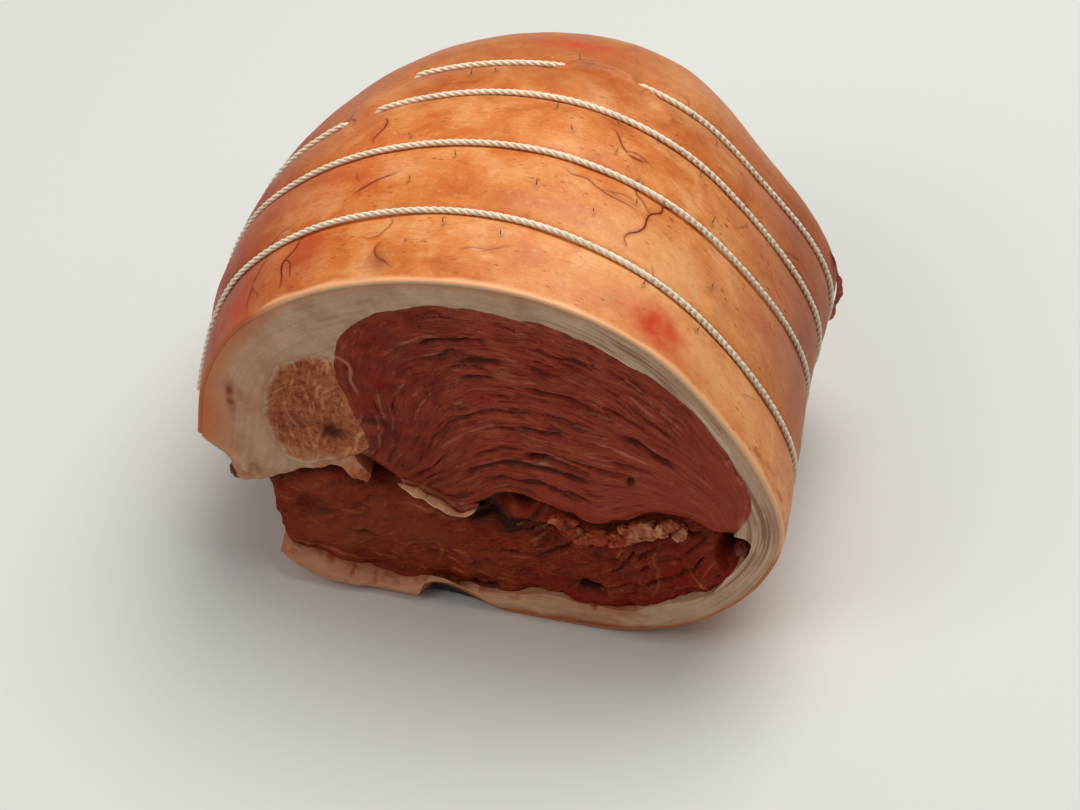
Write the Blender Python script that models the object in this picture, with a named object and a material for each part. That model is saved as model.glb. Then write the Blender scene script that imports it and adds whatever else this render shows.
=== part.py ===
"""A raw boneless leg of pork, rolled, tied with four loops of twine and standing on its flat base.

The joint lies along Y: the wide cut face is near y = 0 and looks along -Y, and the narrow end is at the back.
A jacket of fat and rind wraps three muscles that run right through from the cut face to the back.
The jacket is a C: it is open along a seam low on the left (-X) side, and the twine bridges that seam.
The cross-sections are drawn in millimetres on the cut face, as (x, z), and are then squeezed along the length.
"""

import math

import bmesh
import bpy
import numpy as np
from mathutils.geometry import delaunay_2d_cdt

MM = 0.001

# Driving dimensions, millimetres.
STATIONS = (0, 35, 70, 100, 120, 135, 147, 155, 165)  # distance behind the cut face
LEFT_SCALE = (1, 1.06, 1.05, 1.0, 0.93, 0.85, 0.75, 0.66, 0.52)
RIGHT_SCALE = (1, 0.99, 0.97, 0.97, 0.945, 0.86, 0.73, 0.62, 0.45)
HEIGHT_SCALE = (1, 1.045, 1.045, 1.0, 0.955, 0.895, 0.815, 0.74, 0.60)
SHOULDER_DROP = (0, 0, 0.5, 2.5, 4.5, 5.5, 5.5, 5, 4)
DRIFT = (0, -1, -1.5, -1, 0, 0, 0, 0, 0)
LENGTH_TOP = 146.0  # cut face to back end along the middle
LENGTH_LEAN = 6.0  # the back end leans: longer at the top than at the middle
LENGTH_SKEW = 30.0  # and is cut off obliquely, shorter on the right
GAP = 0.28  # clearance kept between touching pieces

TWINE_DIAMETER = 1.9
TWINE_SINK = 0.35  # how far the twine's axis lies under the rind's surface
TWINE_SINK_BASE = 1.2  # the same under the base, where it must not touch the ground
GROOVE_HALF_WIDTH = 2.4
GROOVE_DEPTH = 2.1
KNOT_SIZE = (1.9, 2.5, 2.6)
TAIL_LENGTH = 11.0
# Distance of each loop behind the cut face, at 8 places from the left tip over the top to the seam.
TWINE_PLACES = (0, 2, 4, 6, 8, 10, 13, 15)
TWINE = {
    "string_1": (17, 22, 25, 22.5, 26, 25, 24, 22),
    "string_2": (46, 48.5, 53, 52.5, 61, 57, 54, 50),
    "string_3": (64, 71, 80, 78.5, 84, 80, 78, 70),
    "string_4": (88, 94, 101, 102, 106, 99, 99, 92),
}

# Outlines on the cut face, (x, z), each a smooth curve through a few places.
RIND = (
    (-90, 56), (-86, 80), (-74, 103), (-50, 122.5), (-18, 133.5), (16, 134), (48, 121), (74, 92),
    (88.5, 61), (84.5, 36), (68.5, 14.5), (46, 2.5), (20, 0), (-15, 0), (-50, 0), (-66, 7),
)
STRIP_END = ((-66, 7), (-66.5, 10.5), (-62.5, 12.5))
STRIP = (
    (-62.5, 12.5), (-55, 10.8), (-40, 7.2), (-28, 6.8), (-18, 9), (-9, 7.6), (5, 8.5), (20, 12),
    (33, 10.5), (45, 11), (52, 16), (67, 24), (74, 35), (78, 43), (80, 50),
)
CORNER = ((80, 50), (78, 52.6), (74.5, 53))
ROOF = (
    (74.5, 53), (79, 67), (72.5, 83.5), (60, 101), (45, 113), (25, 122), (8, 125.5), (-12, 125),
    (-27, 120), (-38, 112), (-43.5, 103), (-44.5, 94),
)
POCKET = (
    (-44.5, 94), (-47.5, 96.5), (-53, 96), (-61, 91.5), (-66.5, 82), (-67, 73), (-65.5, 62),
    (-62, 53), (-56, 51.5), (-49, 55), (-40.5, 58.5),
)
SHELF = (
    (-40.5, 58.5), (-37.6, 55), (-35.6, 51), (-37.3, 48), (-40, 48.4), (-43, 51.4), (-49, 52),
    (-56, 48.6), (-62, 45.4), (-68.5, 41.5),
)
FLAP = ((-68.5, 41.5), (-73, 39.4), (-77.8, 38.6), (-79.4, 43), (-82, 48.6), (-86, 52.2), (-90, 56))
PARTING = ((-40.5, 58.5), (-36.3, 62), (-35.8, 66.5), (-38, 73), (-40.5, 80.5), (-43, 87), (-44.5, 94))
CREVICE = (
    (74.5, 53), (69, 52.6), (60, 56), (52, 55.5), (42, 50.5), (33.5, 46), (25, 49.5), (14, 52),
    (5, 52.4), (-3, 45.6), (-8.5, 42.4), (-15, 46.6), (-24, 50.2), (-33, 54.7), (-40.5, 58.5),
)
OPEN_SIDE = ((-62.5, 12.5), (-64.5, 17), (-66, 24), (-67.3, 33), (-68.5, 41.5))


def catmull(points, t):
    """Catmull-Rom curve through the points; t counts points, so t = 2.5 is half way from the third to the fourth."""
    points = np.asarray(points, float)
    last = len(points) - 1
    i = np.clip(np.floor(t).astype(int), 0, last - 1)
    f = (np.asarray(t, float) - i)[:, None]
    a, b, c, d = (points[np.clip(i + k, 0, last)] for k in (-1, 0, 1, 2))
    return 0.5 * (2 * b + (c - a) * f + (2 * a - 5 * b + 4 * c - d) * f**2 + (3 * b - a - 3 * c + d) * f**3)


def even(points, step):
    """The same curve sampled about every step millimetres, ends included."""
    dense = catmull(points, np.linspace(0, len(points) - 1, 40 * len(points)))
    run = np.r_[0, np.cumsum(np.linalg.norm(np.diff(dense, axis=0), axis=1))]
    count = max(2, round(run[-1] / step) + 1)
    at = np.linspace(0, run[-1], count)
    return np.stack([np.interp(at, run, dense[:, k]) for k in (0, 1)], 1)


def station(values, y):
    """Smooth curve through (STATIONS, values), with the slope at each station from its neighbours."""
    ys, vs = np.array(STATIONS, float), np.array(values, float)
    slope = np.gradient(vs, ys)
    y = np.clip(y, ys[0], ys[-1])
    i = np.clip(np.searchsorted(ys, y) - 1, 0, len(ys) - 2)
    h = ys[i + 1] - ys[i]
    t = (y - ys[i]) / h
    return (
        (2 * t**3 - 3 * t**2 + 1) * vs[i]
        + (t**3 - 2 * t**2 + t) * h * slope[i]
        + (3 * t**2 - 2 * t**3) * vs[i + 1]
        + (t**3 - t**2) * h * slope[i + 1]
    )


def squeeze(x, z, y):
    """Where the point drawn at (x, z) on the cut face lies at distance y behind it."""
    x, z, y = (np.asarray(v, float) for v in (x, z, y))
    right = 1 / (1 + np.exp(-x / 15))
    angle = np.arctan2(z - 60, x)
    shoulder = np.exp(-(((angle - math.radians(36)) / math.radians(22)) ** 2)) * np.minimum(np.hypot(x, z - 60) / 80, 1.1) ** 2
    drop = station(SHOULDER_DROP, y) * shoulder
    wide = right * station(RIGHT_SCALE, y) + (1 - right) * station(LEFT_SCALE, y)
    return np.stack(
        [x * wide + station(DRIFT, y) * np.minimum(z / 20, 1) - 0.6 * drop, y, z * station(HEIGHT_SCALE, y) - drop], -1
    )


def smooth(v):
    v = np.clip(v, 0, 1)
    return v * v * (3 - 2 * v)


def back(x, z):
    """Distance of the back end behind the cut face, for the point drawn at (x, z)."""
    x, z = np.asarray(x, float), np.asarray(z, float)
    return LENGTH_TOP + LENGTH_LEAN * (z - 60) / 70 - LENGTH_SKEW * smooth((x - 10) / 85)


def bump(x, z, cx, cz, rx, rz):
    """1 at (cx, cz), falling smoothly to 0 at an ellipse of half axes rx and rz."""
    return smooth(1 - np.hypot((x - cx) / rx, (z - cz) / rz))


def ripple(x, z, size):
    """Soft uneven relief of about -1 to 1, from four crossing waves."""
    k = 2 * math.pi / size
    return 0.4 * (
        np.sin(k * (x + 0.3 * z) + 1.1)
        + np.sin(k * (0.8 * z - 0.5 * x) * 1.3 + 2.3)
        + 0.7 * np.sin(k * (1.7 * x - 0.4 * z) * 1.1 + 0.4)
        + 0.6 * np.sin(k * (1.4 * z + 0.9 * x) * 1.6 + 5.1)
    )


def distance_to(curve, x, z):
    """Distance from each (x, z) to a sampled curve."""
    points = np.stack([np.ravel(x), np.ravel(z)], 1)
    a, b = curve[:-1], curve[1:]
    d = b - a
    t = np.clip(((points[:, None] - a) * d).sum(-1) / (d * d).sum(-1), 0, 1)
    near = a + t[..., None] * d
    return np.linalg.norm(points[:, None] - near, axis=-1).min(1).reshape(np.shape(x))


CREVICE_LINE = even(CREVICE, 3)


def front_of_jacket(x, z):
    return 0.5 * ripple(x, z, 30) * smooth((70 - np.abs(x)) / 30) - 0.4 * bump(x, z, -58, 70, 34, 45)


def front_of_upper(x, z):
    """Domed a little, and rolled over at the crevice under it."""
    edge = distance_to(CREVICE_LINE, x, z)
    return -1.2 * bump(x, z, 18, 88, 66, 48) + 0.35 * ripple(x, z, 22) + 1.4 * smooth(1 - edge / 5) - 0.2


def front_of_side(x, z):
    return -1.0 * bump(x, z, -52, 76, 18, 24) + 0.4 * ripple(x, z, 14)


def front_of_lower(x, z):
    """Set back under the crevice, with two deep pits and a lumpy shelf of torn fat along the right half."""
    edge = distance_to(CREVICE_LINE, x, z)
    set_back = 1.2 + 4.6 * smooth(1 - edge / 17)
    lumps = smooth((x - 2) / 12) * smooth((68 - x) / 10) * smooth(1 - edge / 9)
    return (
        set_back
        - 3.4 * lumps * (1 + 0.45 * ripple(x, z, 9))
        + 12.0 * bump(x, z, -35.5, 49.5, 11, 9.5)
        + 10.0 * bump(x, z, 76.5, 46.5, 7.5, 9)
        + 3.5 * bump(x, z, -58, 37, 11, 9)
        + 0.6 * ripple(x, z, 17)
    )


def back_relief(x, z):
    """The back end bulges between its rims."""
    return 5.0 * bump(x, z, 5, 62, 92, 66) + 0.5 * ripple(x, z, 24)


def fold(x, z, y):
    """Rise of the underside where the base is pinched into a small arch at the cut face."""
    return 7.2 * smooth(1 - abs((x + 13) / 9)) * smooth(1 - y / 46) * smooth((9 - z) / 6)


def inside(loop, points):
    """Which points lie inside the closed loop, by counting crossings."""
    x, z = points[:, 0][:, None], points[:, 1][:, None]
    x0, z0 = loop[:, 0], loop[:, 1]
    x1, z1 = np.roll(x0, -1), np.roll(z0, -1)
    with np.errstate(divide="ignore", invalid="ignore"):
        cross = ((z0 > z) != (z1 > z)) & (x < (x1 - x0) * (z - z0) / (z1 - z0) + x0)
    return cross.sum(1) % 2 == 1


def inset(loop, amount):
    """The closed loop moved inwards by amount, with its corners mitred."""
    area = 0.5 * np.sum(loop[:, 0] * np.roll(loop[:, 1], -1) - np.roll(loop[:, 0], -1) * loop[:, 1])
    turn = 1 if area > 0 else -1
    before, after = loop - np.roll(loop, 1, 0), np.roll(loop, -1, 0) - loop
    n = [turn * np.stack([-d[:, 1], d[:, 0]], 1) / np.linalg.norm(d, axis=1, keepdims=True) for d in (before, after)]
    mid = n[0] + n[1]
    return loop + mid * (amount / np.maximum((mid * n[0]).sum(1), 0.07))[:, None]


def zip_columns(bm, a, b):
    """Faces between two columns of vertices that run front to back, which may have different counts."""
    i = j = 0
    if len(a) == len(b):
        for k in range(len(a) - 1):
            bm.faces.new((a[k][1], a[k + 1][1], b[k + 1][1], b[k][1]))
        return
    while i < len(a) - 1 or j < len(b) - 1:
        if j == len(b) - 1 or (i < len(a) - 1 and a[i + 1][0] <= b[j + 1][0]):
            bm.faces.new((a[i][1], a[i + 1][1], b[j][1]))
            i += 1
        else:
            bm.faces.new((a[i][1], b[j + 1][1], b[j][1]))
            j += 1


def cap(bm, loop, ring, step, place):
    """Fills a ring of vertices with triangles over the outline, with points inside about every step millimetres."""
    low, high = loop.min(0), loop.max(0)
    rows = np.arange(low[1] + step / 2, high[1], step * 0.87)
    grid = np.array(
        [(x, z) for k, z in enumerate(rows) for x in np.arange(low[0] + (k % 2) * step / 2, high[0], step)]
    )
    closed = np.vstack([loop, loop[:1]])
    keep = inside(loop, grid)
    grid = grid[keep]
    grid = grid[distance_to(closed, grid[:, 0], grid[:, 1]) > step * 0.45]
    points = np.vstack([loop, grid])
    n = len(loop)
    edges = [(k, (k + 1) % n) for k in range(n)]
    out, _, faces, origin, _, _ = delaunay_2d_cdt([tuple(p) for p in points], edges, [], 1, 1e-5, True)
    flat = np.array([tuple(p) for p in out])
    where = place(flat[:, 0], flat[:, 1])
    verts = [
        ring[source[0]] if source and source[0] < n else bm.verts.new(where[k] * MM)
        for k, source in enumerate(origin)
    ]
    middles = np.array([flat[list(face)].mean(0) for face in faces])
    for face, within in zip(faces, inside(loop, middles)):
        if within:
            bm.faces.new([verts[k] for k in face])


def loft(name, loop, columns, front, step, material):
    """A closed solid: the outline's columns of vertices run front to back, and two relief caps close it."""
    bm = bmesh.new()
    made = [[(s, bm.verts.new(p * MM)) for s, p in column] for column in columns]
    for k in range(len(made)):
        zip_columns(bm, made[k], made[(k + 1) % len(made)])

    def front_place(x, z):
        y = front(x, z)
        return squeeze(x, z, np.maximum(y, 0)) + np.stack([0 * x, y - np.maximum(y, 0), fold(x, z, 0)], -1)

    def back_place(x, z):
        return squeeze(x, z, back(x, z)) + np.stack([0 * x, back_relief(x, z), 0 * x], -1)

    cap(bm, loop, [c[0][1] for c in made], step, front_place)
    cap(bm, loop, [c[-1][1] for c in made], step * 1.5, back_place)
    bmesh.ops.recalc_face_normals(bm, faces=bm.faces)
    mesh = bpy.data.meshes.new(name)
    bm.to_mesh(mesh)
    bm.free()
    if sum(f.normal.y * f.area for f in mesh.polygons if f.center.y < 20 * MM) > 0:
        mesh.flip_normals()
    return add(name, mesh, material)


def add(name, mesh, material):
    obj = bpy.data.objects.new(name, mesh)
    joint.objects.link(obj)
    mesh.materials.clear()
    mesh.materials.append(material)
    mesh.shade_smooth()
    mesh.set_sharp_from_angle(angle=math.radians(50))
    return obj


def plain_column(x, z, front, levels):
    """Vertices along the length at one place of an outline, at fractions of the way from front to back."""
    y0, y1 = float(front(x, z)), float(back(x, z))
    ys = y0 + (y1 - y0) * np.array(levels)
    places = squeeze(np.full(len(ys), x), np.full(len(ys), z), np.maximum(ys, 0))
    places[:, 1] = ys
    places[:, 2] += [fold(x, z, max(y, 0)) for y in ys]
    places[-1, 1] += back_relief(x, z)
    return list(zip(levels, places))


LEVELS = (0, 0.12, 0.25, 0.42, 0.6, 0.76, 0.89, 1)


def twine_y(name, t):
    return catmull(np.stack([TWINE_PLACES, TWINE[name]], 1), np.interp(t, TWINE_PLACES, range(len(TWINE_PLACES))))[:, 1]


def rind_point(t, y):
    """Point of the rind's outer surface, with the base flattened onto the ground."""
    p = catmull(RIND, t)
    out = squeeze(p[:, 0], np.maximum(p[:, 1], 0), y)
    out[:, 2] += fold(p[:, 0], np.maximum(p[:, 1], 0), np.asarray(y, float))
    return out


def rind_normal(t, y):
    """Outward normal of the rind, from small steps along both directions."""
    last = len(RIND) - 1
    along = rind_point(np.minimum(t + 0.02, last), y) - rind_point(np.maximum(t - 0.02, 0), y)
    back_ = rind_point(t, y + 0.5) - rind_point(t, y - 0.5)
    n = np.cross(along, back_)
    return n / np.linalg.norm(n, axis=1, keepdims=True)


def sink(t):
    """Depth of the twine's axis under the rind: shallow in sight, deeper under the base, and clear of the seam's edges."""
    base = smooth((t - 10.2) / 1.0)
    lift = smooth(1 - t / 0.9) + smooth((t - 14.35) / 0.6)
    return (TWINE_SINK + (TWINE_SINK_BASE - TWINE_SINK) * base) * (1 - lift) - (TWINE_DIAMETER / 2 + 0.4) * lift


RIND_T = np.concatenate([np.linspace(0, 12, 50), np.linspace(12.3, 15, 12)])


def jacket():
    """Fat and rind: the outer side has a V groove under each loop of twine."""
    t = RIND_T
    rim = catmull(RIND, t)
    rim[:, 1] = np.maximum(rim[:, 1], 0)
    y0 = np.maximum(front_of_jacket(rim[:, 0], rim[:, 1]), 0) * 0
    y1 = back(rim[:, 0], rim[:, 1])
    loops = [twine_y(name, t) for name in TWINE]
    rows = [(y0, 0 * t), (y0 + (loops[0] - GROOVE_HALF_WIDTH) * 0.5, 0 * t)]
    for k, y in enumerate(loops):
        deep = np.maximum(GROOVE_DEPTH + (sink(t) - TWINE_SINK), 0)
        rows += [(y - GROOVE_HALF_WIDTH, 0 * t), (y, deep), (y + GROOVE_HALF_WIDTH, 0 * t)]
        if k < 3:
            rows.append(((y + loops[k + 1]) / 2, 0 * t))
    last = loops[3] + GROOVE_HALF_WIDTH
    rows += [(last + (y1 - last) * f, 0 * t) for f in (0.35, 0.7, 1.0)]
    grid = np.array([rind_point(t, y) - d[:, None] * rind_normal(t, y) for y, d in rows])
    # A groove under the base still cuts upwards into the strip of fat.
    grid[..., 2] = np.maximum(grid[..., 2], 0)
    levels = np.array([(y - y0) / (y1 - y0) for y, _ in rows])
    outer = [[(levels[r, c], grid[r, c]) for r in range(len(rows))] for c in range(len(t))]
    for c in range(len(t)):
        outer[c][-1] = (1.0, grid[-1, c] + (0, float(back_relief(*rim[c])), 0))

    inner = np.vstack(
        [
            even(STRIP_END, 2.5)[1:-1], even(STRIP, 4.2)[:-1], even(CORNER, 2.5)[:-1], even(ROOF, 6)[:-1],
            even(POCKET, 5)[:-1], even(SHELF, 3.5)[:-1], even(FLAP, 4)[:-1],
        ]
    )
    columns = outer + [plain_column(x, z, front_of_jacket, LEVELS) for x, z in inner]
    return loft("fat_and_rind", np.vstack([rim, inner]), columns, front_of_jacket, 6, FAT)


def muscle(name, parts, front, step, material):
    loop = inset(np.vstack([p[:-1] for p in parts]), GAP)
    columns = [plain_column(x, z, front, LEVELS) for x, z in loop]
    return loft(name, loop, columns, front, step, material)


def loop_of_twine(name):
    """A closed tube in its groove, straight across the open seam, with a knot and two tails there."""
    t = RIND_T[:-1]
    y = twine_y(name, t)
    path = rind_point(t, y) - sink(t)[:, None] * rind_normal(t, y)
    path[:, 2] = np.maximum(path[:, 2], TWINE_DIAMETER / 2 + 0.15)
    # The loop rounds the strip's end, and from there to the left tip it is taut, clear of the meat.
    turn, end, start = squeeze(-67.6, 4.6, y[-1]), squeeze(-68.9, 9.6, y[-1]), path[0]
    bridge = np.array([turn] + [end + (start - end) * f for f in (0, 0.18, 0.36, 0.54, 0.72, 0.87)])
    path = np.vstack([path, bridge])
    curve = bpy.data.curves.new(name, "CURVE")
    curve.dimensions = "3D"
    curve.bevel_depth = TWINE_DIAMETER / 2 * MM
    curve.bevel_resolution = 1
    spline = curve.splines.new("POLY")
    spline.points.add(len(path) - 1)
    for point, place in zip(spline.points, path):
        point.co = (*(place * MM), 1)
    spline.use_cyclic_u = True
    guide = bpy.data.objects.new(name + "_guide", curve)
    joint.objects.link(guide)
    bpy.context.view_layer.update()
    mesh = bpy.data.meshes.new_from_object(guide.evaluated_get(bpy.context.evaluated_depsgraph_get()))
    bpy.data.objects.remove(guide)
    obj = add(name, mesh, TWINE_COLOUR)

    # The knot and its tails, joined on by one union.
    pieces = bpy.data.collections.new(name + "_knot")
    bpy.context.scene.collection.children.link(pieces)
    centre = bridge[4] + (-0.4, 0, 0)
    bm = bmesh.new()
    bmesh.ops.create_icosphere(bm, subdivisions=1, radius=1)
    bmesh.ops.scale(bm, vec=tuple(s * MM for s in KNOT_SIZE), verts=bm.verts)
    bmesh.ops.translate(bm, vec=tuple(centre * MM), verts=bm.verts)
    knot = bpy.data.meshes.new(name + "_knot")
    bm.to_mesh(knot)
    bm.free()
    pieces.objects.link(bpy.data.objects.new(name + "_knot", knot))
    for side in (-1, 1):
        bm = bmesh.new()
        bmesh.ops.create_cone(
            bm, cap_ends=True, segments=6, radius1=TWINE_DIAMETER / 2 * MM, radius2=TWINE_DIAMETER / 2 * 1.1 * MM,
            depth=TAIL_LENGTH * MM,
        )
        bmesh.ops.translate(bm, vec=(0, 0, -TAIL_LENGTH / 2 * MM), verts=bm.verts)
        for v in bm.verts:
            x, y_, z = v.co
            lean = math.radians(38)
            v.co = (x * math.cos(lean) + z * math.sin(lean) * 0.75, y_ + side * z * -0.45, z * math.cos(lean) - x * math.sin(lean))
        bmesh.ops.translate(bm, vec=tuple((centre + (-0.6, side * 0.9, -0.4)) * MM), verts=bm.verts)
        tail = bpy.data.meshes.new(name + "_tail")
        bm.to_mesh(tail)
        bm.free()
        pieces.objects.link(bpy.data.objects.new(name + "_tail", tail))
    joiner = obj.modifiers.new("knot", "BOOLEAN")
    joiner.operation = "UNION"
    joiner.operand_type = "COLLECTION"
    joiner.collection = pieces
    joiner.solver = "EXACT"
    bpy.context.view_layer.update()
    joined = bpy.data.meshes.new_from_object(obj.evaluated_get(bpy.context.evaluated_depsgraph_get()))
    obj.modifiers.remove(joiner)
    obj.data = joined
    joined.materials.clear()
    joined.materials.append(TWINE_COLOUR)
    for extra in list(pieces.objects):
        bpy.data.objects.remove(extra)
    bpy.data.collections.remove(pieces)
    return obj


def surface(name, colour, roughness):
    material = bpy.data.materials.new(name)
    material.use_nodes = True
    shader = material.node_tree.nodes["Principled BSDF"]
    shader.inputs["Base Color"].default_value = (*colour, 1)
    shader.inputs["Roughness"].default_value = roughness
    shader.inputs["Metallic"].default_value = 0
    return material


def stand_on_origin(objects):
    """Moves every mesh so that the middle of the bounding box's underside is the origin."""
    corners = np.array([v.co for obj in objects for v in obj.data.vertices])
    low, high = corners.min(0), corners.max(0)
    shift = -np.array([(low[0] + high[0]) / 2, (low[1] + high[1]) / 2, low[2]])
    for obj in objects:
        for v in obj.data.vertices:
            v.co = tuple(np.array(v.co) + shift)
    print("shift mm", shift / MM, "size mm", (high - low) / MM)


for old in list(bpy.data.objects):
    bpy.data.objects.remove(old)
joint = bpy.data.collections.new("pork_leg")
bpy.context.scene.collection.children.link(joint)

FAT = surface("fat and rind", (0.72, 0.32, 0.13), 0.45)
DARK = surface("lean, dark", (0.19, 0.045, 0.025), 0.4)
LEAN = surface("lean", (0.26, 0.07, 0.045), 0.45)
PALE = surface("lean, marbled", (0.38, 0.17, 0.09), 0.5)
TWINE_COLOUR = surface("cotton twine", (0.7, 0.6, 0.45), 0.85)

made = [
    jacket(),
    muscle("upper_muscle", [even(CREVICE, 4)[::-1], even(ROOF, 6), even(PARTING, 5)[::-1]], front_of_upper, 6, LEAN),
    muscle("side_muscle", [even(PARTING, 5), even(POCKET, 5)], front_of_side, 6, PALE),
    muscle(
        "lower_muscle",
        [even(STRIP, 4.2), even(CORNER, 2.5), even(CREVICE, 4), even(SHELF, 3.5), even(OPEN_SIDE, 5)[::-1]],
        front_of_lower, 4.5, DARK,
    ),
]
made += [loop_of_twine(name) for name in TWINE]
stand_on_origin(made)
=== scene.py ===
"""The finished look of a raw boneless leg of pork, rolled and tied with four loops of cotton twine.

The cross-section is drawn in millimetres on the cut face, as (x, z), and squeezed along y towards the back,
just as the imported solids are. Every piece is worked out in those millimetres and moved into the frame by
SHIFT.
"""

import math

import bpy
import numpy as np
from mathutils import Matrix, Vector
from mathutils.geometry import delaunay_2d_cdt


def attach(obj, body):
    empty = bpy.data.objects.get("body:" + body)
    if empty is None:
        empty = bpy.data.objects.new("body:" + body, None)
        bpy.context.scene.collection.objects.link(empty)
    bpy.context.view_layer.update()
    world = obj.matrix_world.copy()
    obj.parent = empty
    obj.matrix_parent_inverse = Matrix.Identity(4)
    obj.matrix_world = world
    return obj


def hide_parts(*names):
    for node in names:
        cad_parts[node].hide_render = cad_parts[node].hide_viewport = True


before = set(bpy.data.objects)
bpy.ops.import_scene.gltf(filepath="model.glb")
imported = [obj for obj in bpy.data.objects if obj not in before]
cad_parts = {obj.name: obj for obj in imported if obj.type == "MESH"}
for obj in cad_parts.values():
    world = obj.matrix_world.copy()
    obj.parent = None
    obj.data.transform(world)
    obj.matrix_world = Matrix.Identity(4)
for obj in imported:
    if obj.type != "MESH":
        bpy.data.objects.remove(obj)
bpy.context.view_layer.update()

bl_info = {
    "name": "Rolled Leg of Pork",
    "version": (1, 0, 0),
    "blender": (4, 5, 0),
    "location": "3D View > Sidebar > Pork Leg",
    "description": "Builds a raw, tied, boneless leg of pork around its packed solids",
    "category": "Object",
}

MM = 0.001
SHIFT = np.array([5.08988, -75.50216, 0.0])  # from the section's millimetres to the frame's

# The joint's form along its length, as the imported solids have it.
STATIONS = (0, 35, 70, 100, 120, 135, 147, 155, 165)
LEFT_SCALE = (1, 1.06, 1.05, 1.0, 0.93, 0.85, 0.75, 0.66, 0.52)
RIGHT_SCALE = (1, 0.99, 0.97, 0.97, 0.945, 0.86, 0.73, 0.62, 0.45)
HEIGHT_SCALE = (1, 1.045, 1.045, 1.0, 0.955, 0.895, 0.815, 0.74, 0.60)
SHOULDER_DROP = (0, 0, 0.5, 2.5, 4.5, 5.5, 5.5, 5, 4)
DRIFT = (0, -1, -1.5, -1, 0, 0, 0, 0, 0)
LENGTH_TOP = 146.0
LENGTH_LEAN = 6.0
LENGTH_SKEW = 30.0

TWINE_SINK = 0.35
TWINE_SINK_BASE = 1.2
TWINE_PLACES = (0, 2, 4, 6, 8, 10, 13, 15)
TWINE = {
    "string_1": (17, 22, 25, 22.5, 26, 25, 24, 22),
    "string_2": (46, 48.5, 53, 52.5, 61, 57, 54, 50),
    "string_3": (64, 71, 80, 78.5, 84, 80, 78, 70),
    "string_4": (88, 94, 101, 102, 106, 99, 99, 92),
}
# Where a string sinks out of sight under the skin: places round the joint, from and to.
BURIED = {
    "string_1": (), "string_2": (), "string_3": ((2.72, 2.99),), "string_4": ((1.7, 3.12), (4.56, 5.18))
}

RIND = (
    (-90, 56), (-86, 80), (-74, 103), (-50, 122.5), (-18, 133.5), (16, 134), (48, 121), (74, 92),
    (88.5, 61), (84.5, 36), (68.5, 14.5), (46, 2.5), (20, 0), (-15, 0), (-50, 0), (-66, 7),
)
STRIP_END = ((-66, 7), (-66.5, 10.5), (-62.5, 12.5))
STRIP = (
    (-62.5, 12.5), (-55, 10.8), (-40, 7.2), (-28, 6.8), (-18, 9), (-9, 7.6), (5, 8.5), (20, 12),
    (33, 10.5), (45, 11), (52, 16), (67, 24), (74, 35), (78, 43), (80, 50),
)
CORNER = ((80, 50), (78, 52.6), (74.5, 53))
ROOF = (
    (74.5, 53), (79, 67), (72.5, 83.5), (60, 101), (45, 113), (25, 122), (8, 125.5), (-12, 125),
    (-27, 120), (-38, 112), (-43.5, 103), (-44.5, 94),
)
POCKET = (
    (-44.5, 94), (-47.5, 96.5), (-53, 96), (-61, 91.5), (-66.5, 82), (-67, 73), (-65.5, 62),
    (-62, 53), (-56, 51.5), (-49, 55), (-40.5, 58.5),
)
SHELF = (
    (-40.5, 58.5), (-37.6, 55), (-35.6, 51), (-37.3, 48), (-40, 48.4), (-43, 51.4), (-49, 52),
    (-56, 48.6), (-62, 45.4), (-68.5, 41.5),
)
FLAP = ((-68.5, 41.5), (-73, 39.4), (-77.8, 38.6), (-79.4, 43), (-82, 48.6), (-86, 52.2), (-90, 56))
PARTING = ((-40.5, 58.5), (-36.3, 62), (-35.8, 66.5), (-38, 73), (-40.5, 80.5), (-43, 87), (-44.5, 94))
CREVICE = (
    (74.5, 53), (69, 52.6), (60, 56), (52, 55.5), (42, 50.5), (33.5, 46), (25, 49.5), (14, 52),
    (5, 52.4), (-3, 45.6), (-8.5, 42.4), (-15, 46.6), (-24, 50.2), (-33, 54.7), (-40.5, 58.5),
)
OPEN_SIDE = ((-62.5, 12.5), (-64.5, 17), (-66, 24), (-67.3, 33), (-68.5, 41.5))

RIND_ENDS = len(RIND) - 1.0
SKIN = 1.9  # thickness of the rind
EDGE_ROUND = 0.9  # radius of its cut edge
FAT_UNDER = 1.4  # the fat's outer wall lies this far under the skin's surface, inside the rind

# The veins that stand out in the skin: place round the joint, distance behind the cut face, heading and bend
# in degrees (0 runs round to the right, 90 to the back), length in millimetres, and how dark.
# Faint ones are strewn.
VEINS = (
    (3.2, 33, 30, 0, 13, 0.8), (2.7, 23, -95, 10, 20, 1.0), (2.4, 21, -120, 40, 20, 0.75),
    (3.4, 17, -40, 130, 14, 0.45),
    (3.6, 14, -80, 0, 12, 0.6), (3.2, 68, -80, 0, 13, 0.8), (2.7, 82, -60, 0, 14, 0.75),
    (4.9, 48, -30, 0, 23, 0.6),
    (5.6, 28, 110, -90, 34, 0.9), (5.2, 72, -60, 50, 19, 0.75), (7.1, 84, 50, 0, 8, 0.85),
)
FAINT_VEINS = 10
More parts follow.
